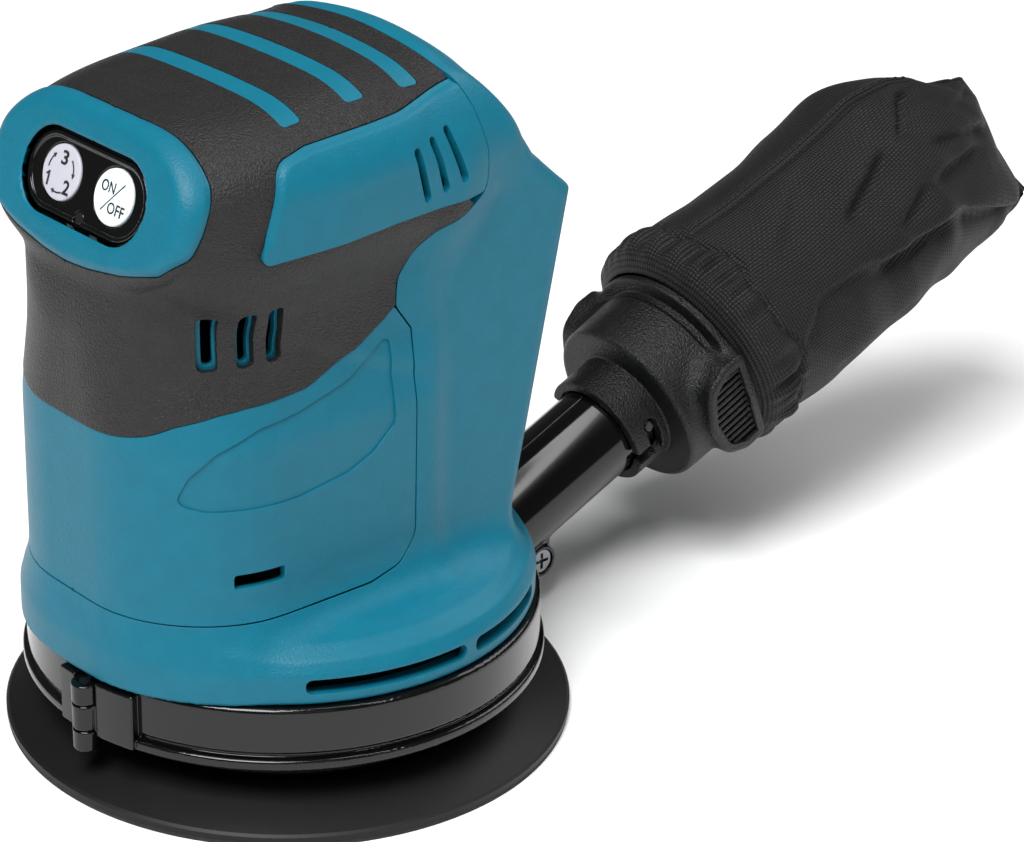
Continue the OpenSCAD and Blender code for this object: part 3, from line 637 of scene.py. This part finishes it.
FINISH = {
    "teal_plastic": material("teal_abs", (11, 105, 128), 0.42, (0.5, 0.8, 0.14), 0.04,
                             Specular_IOR_Level=0.24),
    "grip_rubber": material("grip_elastomer", (33, 32, 32), 0.4, (0.45, 1.0, 0.42), 0.1,
                            Specular_IOR_Level=0.34),
    "gloss_black": material("polished_black", (8, 8, 8), 0.12, (2.5, 0.03, 0.02), 0.1,
                            Specular_IOR_Level=0.34, Coat_Weight=0.22, Coat_Roughness=0.04),
    "black_plastic": material("spark_black", (14, 14, 14), 0.38, (0.45, 1.0, 0.36), 0.12,
                              Specular_IOR_Level=0.34),
    "button_white": material("button_cap", (232, 244, 248), 0.45, (0.6, 0.1, 0.02), 0.01),
    "lens": material("smoked_lens", (30, 28, 30), 0.1, (1.5, 0.02, 0.01), 0.1),
    "board": material("solder_mask", (22, 84, 46), 0.35, (1.2, 0.3, 0.04), 0.12, 400),
    "aluminium": material("cast_aluminium", (178, 181, 186), 0.38, (0.5, 0.35, 0.05), 0.05, Metallic=1.0),
    "steel": material("plated_steel", (132, 134, 138), 0.3, (0.9, 0.12, 0.02), 0.06, 500, Metallic=1.0),
    "magnet": material("ferrite", (58, 58, 62), 0.6, (0.4, 0.5, 0.05), 0.1),
    "copper": material("enamelled_copper", (184, 108, 52), 0.3, (0.5, 0.5, 0.06), 0.12, 700, Metallic=1.0),
    "carbon": material("pressed_carbon", (34, 34, 34), 0.5, (0.3, 0.5, 0.04), 0.1),
    "foam": material("foam_skin", (14, 14, 14), 0.5, (0.7, 0.35, 0.06), 0.12, 120, Specular_IOR_Level=0.3),
    "hook": material("hook_pile", (42, 42, 44), 0.9, (0.35, 1.0, 0.3), 0.25, 600),
    "nylon": weave(material("woven_nylon", (27, 27, 28), 0.52, None, 0.1, 60, Specular_IOR_Level=0.18), 0.8),
    "wire_red": material("wire_sleeve", (140, 22, 20), 0.4, (1.0, 0.1, 0.02), 0.05),
    "capacitor_blue": material("printed_sleeve", (32, 48, 92), 0.35, (1.0, 0.1, 0.02), 0.06),
}
BUTTON_GREY = material("button_cap_grey", (190, 190, 200), 0.45, (0.6, 0.1, 0.02), 0.02)
INK = material("printed_ink", (24, 26, 32), 0.5, (0.5, 0.1, 0.01), 0.1)
THREAD = material("sewing_thread", (20, 20, 21), 0.6, (0.2, 0.8, 0.06), 0.2, 900)
for row in frame["record"]["subparts"]:
    for spot in frame["nodes"][row["node"]].material_slots:
        spot.material = FINISH[row["material_slot"]]
for name, side in (("left", 1), ("right", -1)):
    build_housings(name, side)
    # The baffle's black finish is painted shade: it stands for the teal inside of the exhaust slots, which
    # lies in shadow.
    piece("vent_baffle_" + name, baffle(side), FINISH["black_plastic"], slot="black_plastic")


# ---- Pieces on their own axes ----

TUBE_AT = np.array([0, TUBE_Y, TUBE_Z])
TUBE_AXES = np.array(
    [[1, 0, 0], [0, -math.sin(TILT), math.cos(TILT)], [0, math.cos(TILT), math.sin(TILT)]])
PANEL_AT = np.array([0, PANEL_Y, PANEL_Z])
PANEL_AXES = np.array(
    [[1, 0, 0], [0, math.cos(PANEL), math.sin(PANEL)], [0, -math.sin(PANEL), math.cos(PANEL)]])


def placed(mesh, at, axes):
    """A mesh on its own axes, put in the frame; left-handed axes turn its faces round."""
    p, normals, faces = mesh
    if np.linalg.det(axes) < 0:
        faces = [list(f)[::-1] for f in faces]
    return at + p @ axes, normals @ axes, faces


# ---- Switch panel: a across, u up, o outward ----

BUTTON_AT = 8.7
LENS_AT = -6.7
INK_AT, INK_DEEP = -0.36, 0.12


def button_plan(a, u, s, r):
    """A button's outline on the panel, of radius r."""
    return np.hypot(a - s * BUTTON_AT, (u - 0.25) * 1.07) - r


def panel_plate(a, u, o):
    """The glossy plate with its raised rim, two button holes and the lamp's hole."""
    plan = bar(a, u, 20.0, 8.7, 8.7)
    f = cut(plan, o + 0.75, 0.35)
    rim = cut(np.abs(plan + 1.25) - 0.55, o + 0.3, 0.3)
    f = np.maximum(join(f, rim, 0.35), -2.4 - o)
    for s in (1, -1):
        f = cut(f, -button_plan(a, u, s, 6.35), 0.15)
    return np.maximum(f, 1.45 - np.hypot(a, u - LENS_AT))


def button(s):
    """A slightly crowned cap; s is -1 for speed and 1 for power."""
    def field(a, u, o):
        r = np.hypot(a - s * BUTTON_AT, u)
        return np.maximum(cut(button_plan(a, u, s, 6.1), o + 0.35 + 0.004 * r * r, 0.4), -3 - o)
    return field


def lens(a, u, o):
    """The lamp's window."""
    return np.maximum(cut(np.hypot(a, u - LENS_AT) - 1.4, o + 0.75, 0.3), -2.2 - o)


def text_mesh(word, centre, size, heavy):
    """Lettering as a thin closed solid on the panel's axes."""
    data = bpy.data.curves.new("word", "FONT")
    data.body, data.extrude, data.resolution_u, data.offset = word, 0.1, 3, heavy
    o = add("word", data)
    bpy.context.view_layer.update()
    me = bpy.data.meshes.new_from_object(o.evaluated_get(bpy.context.evaluated_depsgraph_get()))
    p = np.array([v.co for v in me.vertices])
    faces = [list(f.vertices) for f in me.polygons]
    bpy.data.objects.remove(o)
    bpy.data.curves.remove(data)
    bpy.data.meshes.remove(me)
    low, high = p.min(0), p.max(0)
    p = (p - (low + high) / 2) / (high - low) * [*size, INK_DEEP] + [*centre, INK_AT]
    return p, p * 0, faces


def ribbon(points, widths):
    """A printed stroke as a thin closed solid."""
    q = np.array(points, float)
    t = unit(np.gradient(q, axis=0))
    side = np.stack([-t[:, 1], t[:, 0]], 1) * np.array(widths)[:, None] / 2
    m = 2 * len(q)
    ring = np.concatenate([q + side, (q - side)[::-1]])
    p = np.concatenate([np.c_[ring, np.full(m, INK_AT + s * INK_DEEP / 2)] for s in (-1, 1)])
    faces = [[i, m - 1 - i, m - 2 - i, i + 1] for i in range(len(q) - 1)]
    faces = [[v + m for v in f] for f in faces] + [f[::-1] for f in faces]
    faces += [[(i + 1) % m, i, i + m, (i + 1) % m + m] for i in range(m)]
    return p, p * 0, faces


def arrow(cap, start, end):
    """A curved arrow round a button cap, from one angle to another."""
    turn = np.linspace(rad(start), rad(end), 9)
    q = np.c_[cap + 4.1 * np.cos(turn), 0.25 + 4.1 * np.sin(turn)]
    head = q[6:7] + (q[7] - q[6]) * 0.05
    return ribbon(np.concatenate([q[:7], head, q[8:]]), [0.28] * 7 + [1.0, 0.06])


def ink(name, body, *marks):
    """Print on a button."""
    piece(name, placed(together(*marks), PANEL_AT, PANEL_AXES), INK, body, smooth_normals=False)


def panel_piece(name, field, box, finish, body, slot, node):
    """A piece of the switch panel, meshed on the panel's axes."""
    mesh = skin(field, [box], 0.28)
    piece(name, placed(mesh, PANEL_AT, PANEL_AXES), finish, body, slot, [node])


cap = -BUTTON_AT
ink("speed_marks", "speed_button",
    text_mesh("3", (cap + 0.4, 3.3), (2.0, 2.9), 0.018),
    text_mesh("2", (cap + 2.9, -2.2), (2.0, 2.9), 0.018),
    ribbon([(cap - 3.3, -3.2), (cap - 3.3, -1.8), (cap - 3.3, -0.3)], [0.5, 0.5, 0.5]),
    ribbon([(cap - 3.2, -0.45), (cap - 3.7, -0.8), (cap - 4.2, -1.1)], [0.45, 0.4, 0.34]),
    arrow(cap, 178, 128), arrow(cap, 48, -4), arrow(cap, -66, -112))
cap = BUTTON_AT
ink("power_marks", "power_button",
    text_mesh("ON", (cap - 1.9, 1.9), (4.3, 2.3), 0.006),
    text_mesh("OFF", (cap + 1.9, -1.9), (5.2, 2.3), 0.006),
    ribbon([(cap - 2.7, -3.0), (cap + 0.1, 0.2), (cap + 2.9, 3.4)], [0.24, 0.24, 0.24]))
panel_piece("panel_plate", panel_plate, ((-21, -10, -3), (21, 10, 0.4)), FINISH["gloss_black"],
            "root", "gloss_black", "switch_panel")
panel_piece("speed_cap", button(-1), ((-16, -8, -4), (-1, 8, 0.6)), BUTTON_GREY,
            "speed_button", "button_white", "speed_button")
panel_piece("power_cap", button(1), ((1, -8, -4), (16, 8, 0.6)), FINISH["button_white"],
            "power_button", "button_white", "power_button")
panel_piece("lamp_window", lens, ((-2.4, -10, -3), (2.4, -5, 0)), FINISH["lens"],
            "root", "lens", "lamp_lens")


# ---- Nozzle ring with its tube ----

RING = fillet(  # distance from the axis, z
    [(53.5, 14), (57, 14), (57, 16.6), (55.2, 16.8), (55.2, 17.8), (56, 18.0), (56, 28.1), (50.5, 28.1),
     (50.5, 24.7), (53.5, 24.7)],
    [0.3, 0.9, 0.7, 0.4, 0.4, 0.5, 1.1, 0.3, 0, 0.3])
HINGE = rad(-84)
HINGE_X, HINGE_Y = 57.6 * math.cos(HINGE), 57.6 * math.sin(HINGE)
LUG_Y, LUG_Z = 70, 12.2  # the clamp screw
SWAY = rad(12)  # the bayonet pins' turn on the tube


def ring_half(side):
    """Half of the clamp ring, with half the tube, a bayonet pin, its hinge knuckles and its lug."""
    if side > 0:
        knuckles, spaces, leaf_at, leaf_wide = [(16.0, 21.8)], [(10, 15.9), (21.9, 27.4)], -77, 6
    else:
        knuckles, spaces, leaf_at, leaf_wide = [(11, 15.8), (22.0, 26.6)], [(15.9, 21.9)], -88.6, 3.4
    c, s = math.cos(SWAY), math.sin(SWAY)

    def field(x, y, z):
        r, turn = np.hypot(x, y), np.degrees(np.arctan2(y, x))
        across, up, along = in_tube(x, y, z)
        pipe = np.hypot(across, up)
        tube = cut(pipe - 11.2, along - 60, 0.6)
        tube = np.maximum(np.maximum(tube, -2 - along), 54.3 + 0.8 * np.clip((z - 25) / 3.3, 0, 1) - r)
        screw = np.hypot(y - LUG_Y, z - LUG_Z)
        lug = cut(screw - 4, np.abs(x) - 8, 0.5)
        lug = join(lug, np.maximum(bar(y - LUG_Y, z - 15.5, 3.4, 4, 0.5), np.abs(x) - 6.5), 0.8)
        f = join(join(outline(r, z, RING), tube, 1.2), lug, 1.0)
        bore = np.maximum(pipe - 9.2, -12 - along)
        f = np.maximum(np.maximum(f, -bore), 1.6 - screw)
        f = np.maximum(f, -np.maximum(screw - 3.05, 5.5 - np.abs(x)))
        plane = np.where(y > 0, -x, -(x * math.cos(rad(6)) + y * math.sin(rad(6)))) * side + 0.07
        f = cut(f, plane, 0.3)
        p1, p2 = across * c * side + up * s * side, -across * s + up * c
        pin = np.maximum(cut(np.hypot(p2, along - 53) - 1.4, p1 - 13.3, 0.3), 10.4 - p1)
        f = np.minimum(f, pin)
        barrel = np.hypot(x - HINGE_X, y - HINGE_Y)
        leaf = cut(cut(np.abs(r - 56.25) - 1.75, np.abs(z - 20.9) - 6.3, 0.35),
                   (np.abs(turn - leaf_at) - leaf_wide) * 0.98, 0.3)
        f = np.minimum(f, np.maximum(leaf, 2.95 - barrel) if side < 0 else leaf)
        for a, b in spaces:
            f = np.maximum(f, -np.maximum(barrel - 3.25, np.maximum(a - z, z - b)))
        for a, b in knuckles:
            f = np.minimum(f, cut(barrel - 3, np.maximum(a - z, z - b), 0.35))
        return np.maximum(f, 1.25 - barrel)
    return field


ring_step = 0.42
for name, side, ring_x, neck_x, tube_x in (
        ("left", 1, (-1, 59), (-1, 59), (-1, 15)), ("right", -1, (-59, 11), (-59, 1), (-15, 1))):
    boxes = [((low, *start), (high, *end)) for (low, high), start, end in (
        (ring_x, (-62, 10), (44, 30)), (neck_x, (44, 5), (62, 46)), (tube_x, (62, 5), (110, 54)))]
    piece("nozzle_half_" + name, skin(ring_half(side), boxes, ring_step), FINISH["gloss_black"], "nozzle",
          "gloss_black", ["nozzle_ring_" + name])


# ---- Bag frame ----

FRAME = fillet(  # distance from the tube's axis, place along it
    [(11.5, 47), (13.9, 47), (13.9, 57.2), (20.9, 57.2), (21.3, 71.4), (20.8, 72), (20.8, 73.8), (24.4, 74),
     (24.4, 76), (22, 76), (22, 87.6), (20.2, 87.6), (20.2, 73), (19, 66), (19, 59.2), (11.5, 59.2)],
    [0.3, 0.5, 0.5, 1.3, 0.4, 0.2, 0.2, 0.5, 0.4, 0.3, 0.5, 0.5, 0, 0, 0.6, 0.3])
CHEEK = fillet(  # up, along the tube
    [(-12.3, 75.9), (12.3, 75.9), (12.6, 69.5), (9.5, 63), (0, 60.6), (-9.5, 63), (-12.6, 69.5)],
    [1.8, 1.8, 5, 6, 9, 6, 5])
RIBS = 1.75  # apart


def bag_ring(x, up, s):
    """The bag's frame: collar with bayonet slots, cup, flange, and ribbed finger grips on both cheeks."""
    ax, r = np.abs(x), np.hypot(x, up)
    f = outline(r, s, FRAME)
    plan = outline(up, s, CHEEK)
    cheek = np.maximum(cut(plan, ax - 25.1, 1.1), 19.4 - r)
    f = join(f, cheek, 3.2)
    hollow = cut(plan + 2.4, 23.2 - ax, 0.3)
    f = np.maximum(f, -hollow)
    rib = np.abs((up / RIBS - np.round(up / RIBS)) * RIBS) - 0.5
    rib = cut(rib, np.maximum(plan + 2.2, ax - 24.3), 0.3)
    f = np.minimum(f, np.maximum(rib, 22.4 - ax))
    t = np.arctan2(-up * np.where(x < 0, -1, 1), ax) * 12.8
    slot = np.minimum(bar(t - 0.35, s - 53, 4.85, 1.8, 1.7), bar(t - 3.25, s - 49.2, 1.7, 5, 0.8))
    return np.maximum(f, -np.maximum(slot, np.maximum(10 - r, r - 16)))


mesh = skin(bag_ring, [((-26.5, -26, 46), (26.5, 26, 89))], 0.44)
piece("bag_holder", placed(mesh, TUBE_AT, TUBE_AXES), FINISH["black_plastic"], "bag", "black_plastic",
      ["bag_frame"])


# ---- Dust bag ----

ROWS, ROUND = 42, 72  # the simulated cloth's grid
QUARTER = BAG_GIRTH / 4
BAG_START = 76.15  # along the tube
BAG_T = [0, 0.012, 0.035, 0.12, 0.25, 0.5, 0.65, 0.78, 0.88, 0.95, 1]
BAG_MIDDLE = [0.2, 0.7, 1.3, 0.8, -1.4, -2.3, -3.4, -5.2, -7.4, -9.0, -9.9]
BAG_HIGH = [24.2, 26.4, 27.8, 27.0, 27.6, 27.9, 27.8, 26.6, 24.2, 21.2, 18.0]
BAG_WIDE = [24.2, 26.4, 27.8, 27.0, 27.4, 27.0, 24.5, 18.5, 12.5, 6.2, 0.7]
FOLDS = [  # from t, quarter to t, quarter; depth, steep side's width and slack side's width in mm
    (0.84, 0.95, 0.74, 0.84, 2.2, 2.5, 7), (0.78, 0.92, 0.61, 0.64, 2.2, 1.7, 7),
    (0.60, 0.70, 0.36, 0.50, 2.4, 2.4, 9), (0.86, 0.20, 0.60, 0.38, 2.4, 1.9, 7),
    (0.62, 0.375, 0.46, 0.28, 2.0, 2.2, 8), (0.93, 0.22, 0.66, 0.55, 1.8, 1.6, 6),
    (0.98, 0.62, 0.80, 0.55, 1.5, 2.6, 6), (0.97, -0.50, 0.66, 0.10, 4.6, 3.0, 12),
    (0.72, 0.04, 0.34, 0.22, 4.2, 3.0, 12), (0.42, 0.22, 0.20, 0.30, 1.6, 2.2, 7),
    (0.24, 0.30, 0.13, 0.05, 1.4, 1.8, 6), (0.44, 0.96, 0.18, 0.58, 1.0, 3.5, 9),
    (0.90, -0.85, 0.56, -0.50, 1.8, 2.4, 9), (0.55, -0.35, 0.20, -0.22, 1.6, 3.0, 10),
    (0.90, 1.55, 0.66, 1.80, 1.9, 2.2, 8), (0.86, 2.30, 0.52, 2.05, 2.0, 2.4, 9),
    (0.95, 2.05, 0.70, 1.60, 1.7, 1.8, 7), (0.50, 1.60, 0.22, 1.85, 1.4, 3.0, 9),
    (0.96, 2.60, 0.66, 2.75, 1.8, 2.0, 8), (0.48, 2.60, 0.20, 2.35, 1.5, 2.6, 9)]


def folds(t, quarter):
    """How deep the folds lie in the cloth: a steep side, and a slack side that comes back up."""
    depth = 0 * t + 0 * quarter
    for t0, q0, t1, q1, deep, steep, slack in FOLDS:
        q = (quarter - (q0 + q1) / 2 + 2) % 4 - 2 + (q0 + q1) / 2
        ea, eb = (t1 - t0) * BAG_LONG, (q1 - q0) * QUARTER
        size = math.hypot(ea, eb)
        a, b = t * BAG_LONG - t0 * BAG_LONG, (q - q0) * QUARTER
        run = (a * ea + b * eb) / size ** 2
        d = (b * ea - a * eb) / size
        fade = ease(run / 0.3) * ease((1 - run) / 0.3)
        fall = ease((d / steep + 0.3) / 1.3) * np.exp(-np.maximum(d, 0) / slack)
        fall = fall * ease((slack * 3 - d) / slack)
        depth = depth + deep * fade * (fall - 0.22 * np.exp(-((d + steep) / (1.6 * steep)) ** 2))
    return depth


def held_flat(t, quarter):
    """1 over most of the bag, falling to 0 along its two seams near the end."""
    return 1 - ease((t - 0.72) / 0.14) * np.exp(-((quarter % 2 - 1) / 0.42) ** 2)


def bag_cut():
    """The bag's cloth before it is filled: rows from hem to end seam, as points in the tube's axes."""
    t = np.linspace(0, 1, ROWS + 1)[:, None]
    quarter = np.arange(ROUND)[None, :] * 4 / ROUND
    turn = quarter * math.pi / 2
    middle, high, wide = (np.interp(t, BAG_T, v) for v in (BAG_MIDDLE, BAG_HIGH, BAG_WIDE))
    share = (1 - np.sin(turn)) / 2
    end = np.interp(share, [0, 0.04, 0.22, 0.5, 0.8, 0.97, 1], [181.5, 185.4, 187.5, 185.5, 186, 188, 185.5])
    lean = np.interp(share, [0, 0.3, 0.6, 1], [-3, -2, 3, 9]) * ease((t - 0.55) / 0.45)
    x = wide * np.cos(turn) + lean
    up = middle + high * np.sin(turn) - 0.8 * np.sin(turn * 2) * (1 - t)
    s = BAG_START + t * (end - BAG_START)
    p = np.stack([x, up, np.broadcast_to(s, x.shape)], -1)
    outward = [np.cos(turn) / np.maximum(wide, 3), np.sin(turn) / high, 0 * t + 0 * turn]
    shoulder = 3.8 * np.exp(-((t - 0.67) / 0.13) ** 2 - ((quarter - 1.35) / 0.42) ** 2)
    depth = 0.5 * held_flat(t, quarter) * folds(t, quarter) * ease(t / 0.1)
    depth = depth * (1 - ease((t - 0.94) / 0.06)) - shoulder
    return p - unit(np.stack(outward, -1)) * depth[..., None]


def fill_bag(p):
    """Blender's cloth, at ten times its size, with the hem and the end seam held, and its move smoothed."""
    scale, frames, most = 10, 20, 5
    me = bpy.data.meshes.new("bag_cloth")
    last = ROWS * ROUND
    me.from_pydata((p.reshape(-1, 3) * MM * scale).tolist(), [], grid_faces(ROWS, ROUND))
    o = add("bag_cloth", me)
    held = o.vertex_groups.new(name="held")
    held.add(list(range(ROUND * 2)), 1.0, "REPLACE")
    held.add(list(range(last, last + ROUND)), 1.0, "REPLACE")
    cloth = o.modifiers.new("cloth", "CLOTH")
    c = cloth.settings
    c.quality, c.mass, c.air_damping = 7, 0.2, 2.0
    c.tension_stiffness, c.compression_stiffness = 12, 12
    c.shear_stiffness, c.bending_stiffness = 4, 1.5
    c.use_pressure, c.uniform_pressure_force = True, 4.0
    c.effector_weights.gravity = 0.0
    c.vertex_group_mass = "held"
    c.shrink_min = -0.02
    scene = bpy.context.scene
    scene.frame_start, scene.frame_end = 1, frames
    for f in range(1, frames + 1):
        scene.frame_set(f)
    got = o.evaluated_get(bpy.context.evaluated_depsgraph_get())
    q = np.array([v.co for v in got.data.vertices]) / (MM * scale)
    bpy.data.objects.remove(o)
    scene.frame_set(1)
    q = q.reshape(p.shape)
    move = q - p
    for _ in range(3):
        move = (np.roll(move, 1, 1) + 2 * move + np.roll(move, -1, 1)) / 4
        move[1:-1] = (move[:-2] + 2 * move[1:-1] + move[2:]) / 4
    size = np.linalg.norm(move, axis=-1, keepdims=True)
    return p + move * np.minimum(1, most / np.maximum(size, 1e-6))


def finer(p, rounds=2):
    """The cloth's grid with each square split, on a smooth surface."""
    for _ in range(rounds):
        q = np.concatenate([p[:, -2:], p, p[:, :3]], 1)
        mid = (9 * (q[:, 2:-3] + q[:, 3:-2]) - q[:, 1:-4] - q[:, 4:-1]) / 16
        wide = np.empty((p.shape[0], p.shape[1] * 2, 3))
        wide[:, ::2], wide[:, 1::2] = p, mid
        q = np.concatenate([2 * wide[:1] - wide[1:2], wide, 2 * wide[-1:] - wide[-2:-1]])
        mid = (9 * (q[1:-2] + q[2:-1]) - q[:-3] - q[3:]) / 16
        p = np.empty((wide.shape[0] * 2 - 1, wide.shape[1], 3))
        p[::2], p[1::2] = wide, mid
    return p


def grid_normals(p):
    """Outward normals of the cloth's grid."""
    along = np.gradient(p, axis=0)
    around = np.roll(p, -1, 1) - np.roll(p, 1, 1)
    normals = unit(np.cross(along, around))
    return -normals if normals[len(p) // 2, 0, 0] < 0 else normals


cloth = bag_cut()
cloth = fill_bag(cloth)
cloth = finer(cloth)
rows, around = cloth.shape[0] - 1, cloth.shape[1]
walk = np.linspace(0, 1, rows + 1)[:, None]
angle4 = np.arange(around)[None, :] * 4 / around
sewn = 0.115 + 0.012 * np.sin(angle4 * math.pi * 3 + 1) + 0.006 * np.sin(angle4 * math.pi * 6.5)
normals = grid_normals(cloth)
# The hem: its line of stitches, and gathers that puff out beside it.
scrunch = (np.sin(angle4 * math.pi * 9 + 2.5 * np.sin(angle4 * math.pi * 2))
           + 0.8 * np.sin(angle4 * math.pi * 15 + 2 * np.sin(angle4 * math.pi * 2.5 + 1)))
puff = np.exp(-((walk - 0.075) / 0.04) ** 2) * ease(walk / 0.02)
depth = 0.9 * np.exp(-((walk - sewn) * BAG_LONG / 0.8) ** 2) - 0.75 * scrunch * puff - 0.7 * puff
crease = 1.15 * held_flat(walk, angle4) * folds(walk, angle4) * ease((walk - 0.1) / 0.05)
depth = depth + crease * (1 - ease((walk - 0.93) / 0.06))
# The seams along the top and the bottom, each a groove with a ridge beside it, and the end's.
for quarter in (1, 3):
    off = ((angle4 - quarter + 2) % 4 - 2) * QUARTER
    run = ease((walk - 0.12) / 0.02) * (1 - ease((walk - 0.8) / 0.1))
    depth = depth + run * (1.1 * np.exp(-(off / 0.75) ** 2) - 0.8 * np.exp(-((off - 2.2) / 1.7) ** 2))
depth = depth + 0.5 * np.exp(-((walk - 0.985) * BAG_LONG / 0.7) ** 2)
cloth = cloth - normals * depth[..., None]
normals = grid_normals(cloth)


def cloth_wall(p, normals, thick):
    """The cloth's outside and inside, the folded hem that joins them, and the end, sewn flat."""
    n, m = p.shape[:2]
    lip = p[:1] - normals[:1] * thick / 2 - unit(p[1:2] - p[:1]) * thick * 0.35
    points = np.concatenate([v.reshape(-1, 3) for v in (p, lip, p - normals * thick)])
    nn = np.concatenate([v.reshape(-1, 3) for v in (normals, unit(p[:1] - p[2:3]), -normals)])
    a, b = n * m, n * m + m
    f = grid_faces(n - 1, m)
    f = f + [[v + b for v in reversed(q)] for q in f]
    f += [[(j + 1) % m, j, a + j, a + (j + 1) % m] for j in range(m)]
    f += [[a + (j + 1) % m, a + j, b + j, b + (j + 1) % m] for j in range(m)]
    last, q = (n - 1) * m, m // 4
    for start, turn in ((last, 1), (b + last, -1)):
        for j in range(q, q + m // 2):
            corners = [start + k % m for k in (j, j + 1, 2 * q - j - 1, 2 * q - j)]
            quad = list(dict.fromkeys(corners))
            if len(quad) > 2:
                f.append(quad[::turn])
    return points, nn, f


mesh = agree(*cloth_wall(cloth, normals, BAG_WALL))
bag = piece("bag_cloth", placed(mesh, TUBE_AT, TUBE_AXES), FINISH["nylon"], "bag", "nylon", ["dust_bag"])


def read(items, name):
    """One number from each of a mesh's parts."""
    out = np.zeros(len(items), int)
    items.foreach_get(name, out)
    return out


# The weave's coordinates: centimetres round and along the cloth, with no face crossing the join.
vertex = read(bag.data.loops, "vertex_index")
lip_at, inside_at = cloth.shape[0] * around, (cloth.shape[0] + 1) * around
own = np.where(vertex < lip_at, vertex, np.where(vertex < inside_at, vertex - lip_at, vertex - inside_at))
row, column = own // around, own % around
first = np.repeat(column[read(bag.data.polygons, "loop_start")], read(bag.data.polygons, "loop_total"))
column = np.where(column - first > around / 2, column - around, column)
column = np.where(first - column > around / 2, column + around, column)
place = np.stack([column / around * BAG_GIRTH / 10, row / rows * BAG_LONG / 10], 1)
bag.data.uv_layers.new(name="cloth").data.foreach_set("uv", place.ravel())


def stitches(path, out, length=2.0, gap=1.1, r=0.16):
    """Sewn stitches: short thread pieces that lie along a path and dip into the cloth at their ends."""
    at = np.concatenate([[0], np.cumsum(np.linalg.norm(np.diff(path, axis=0), axis=1))])
    points, faces, nn = [], [], []
    steps, sides = 5, 6
    ends = sides * (steps - 1)
    for begin in np.arange(0.5, at[-1] - length, length + gap):
        k = np.linspace(begin, begin + length, steps)
        q = np.stack([np.interp(k, at, path[:, i]) for i in range(3)], 1)
        up = unit(np.stack([np.interp(k, at, out[:, i]) for i in range(3)], 1))
        q = q + up * np.array([-0.25, 0.1, 0.16, 0.1, -0.25])[:, None]
        along = unit(np.gradient(q, axis=0))
        side = unit(np.cross(along, up))
        caps = [list(range(sides))[::-1], list(range(ends, ends + sides))]
        faces += [[len(points) + v for v in f] for f in grid_faces(steps - 1, sides) + caps]
        for i in range(steps):
            for a in np.arange(sides) * math.pi / 3:
                d = side[i] * math.cos(a) + np.cross(side[i], along[i]) * math.sin(a)
                points.append(q[i] + d * r)
                nn.append(d)
    return np.array(points), np.array(nn), faces


hem_row = np.clip(np.round(sewn[0] * rows).astype(int), 1, rows - 1)
loop = np.array([cloth[hem_row[j], j] for j in range(around)] + [cloth[hem_row[0], 0]])
loop_out = np.array([normals[hem_row[j], j] for j in range(around)] + [normals[hem_row[0], 0]])
threads = [agree(*stitches(loop, loop_out))]
span = slice(int(0.13 * rows), int(0.86 * rows))
for quarter, off in ((1, 3), (3, -3)):
    j = quarter * around // 4 + off
    threads.append(agree(*stitches(cloth[span, j], normals[span, j])))
seams = piece("bag_stitching", placed(together(*threads), TUBE_AT, TUBE_AXES), THREAD, "bag", "nylon")


# ---- Camera, light and floor ----


def look(azimuth, elevation, roll, across, up, distance):
    """The camera, which sees the frame's origin off its middle by across and up, from a distance in mm."""
    a, e, r = rad(azimuth), rad(elevation), rad(roll)
    right = np.array([math.cos(a), math.sin(a), 0])
    back = np.array([math.sin(a) * math.cos(e), -math.cos(a) * math.cos(e), math.sin(e)])
    top = np.cross(back, right)
    at = (-across * right - up * top + distance * back) * MM
    c, s = math.cos(r), math.sin(r)
    axes = np.array([c * right - s * top, s * right + c * top, back]).T
    m = np.eye(4)
    m[:3, :3], m[:3, 3] = axes, at
    data = bpy.data.cameras.new("camera")
    data.lens, data.sensor_width, data.shift_x = 112.5, 36, 0.109375
    data.clip_start, data.clip_end = 0.05, 20
    o = add("camera", data)
    o.matrix_world = Matrix(m.tolist())
    bpy.context.scene.camera = o


def lamp(name, at, size, power, target=(0, 0, 0.07)):
    """A soft box aimed at a target, all in metres and watts."""
    data = bpy.data.lights.new(name, "AREA")
    data.shape, data.size, data.size_y, data.energy = "RECTANGLE", *size, power
    o = add(name, data)
    o.location = at
    o.rotation_euler = (Vector(target) - Vector(at)).to_track_quat("-Z", "Y").to_euler()


for o in list(bpy.data.objects):
    if o.name in ("Cube", "Light", "Camera"):
        bpy.data.objects.remove(o)
look(49.3, 25.4, -0.59, -24.9, -60.2, 709)
bpy.context.scene.view_settings.view_transform = "Standard"
lamp("key", (0.5, -1.15, 2.2), (1.3, 1.3), 82)
lamp("fill", (1.7, -1.0, 1.1), (0.9, 1.2), 1.2)
lamp("back", (0.2, 1.8, 1.7), (1.8, 1.0), 17)
lamp("strip", (0.4, 0.12, 1.0), (0.06, 1.2), 2.0, (0.0, 0.12, 0.03))
world = bpy.data.worlds.new("studio")
world.use_nodes = True
backdrop = world.node_tree.nodes["Background"]
backdrop.inputs["Color"].default_value = (1, 1, 1, 1)
backdrop.inputs["Strength"].default_value = 0.1
bpy.context.scene.world = world
me = bpy.data.meshes.new("floor")
me.from_pydata([(-4, -4, 0), (4, -4, 0), (4, 4, 0), (-4, 4, 0)], [], [(0, 1, 2, 3)])
me.materials.append(material("floor_paper", (252, 252, 252), 0.8, None, 0.004, 3))
floor = add("floor", me)
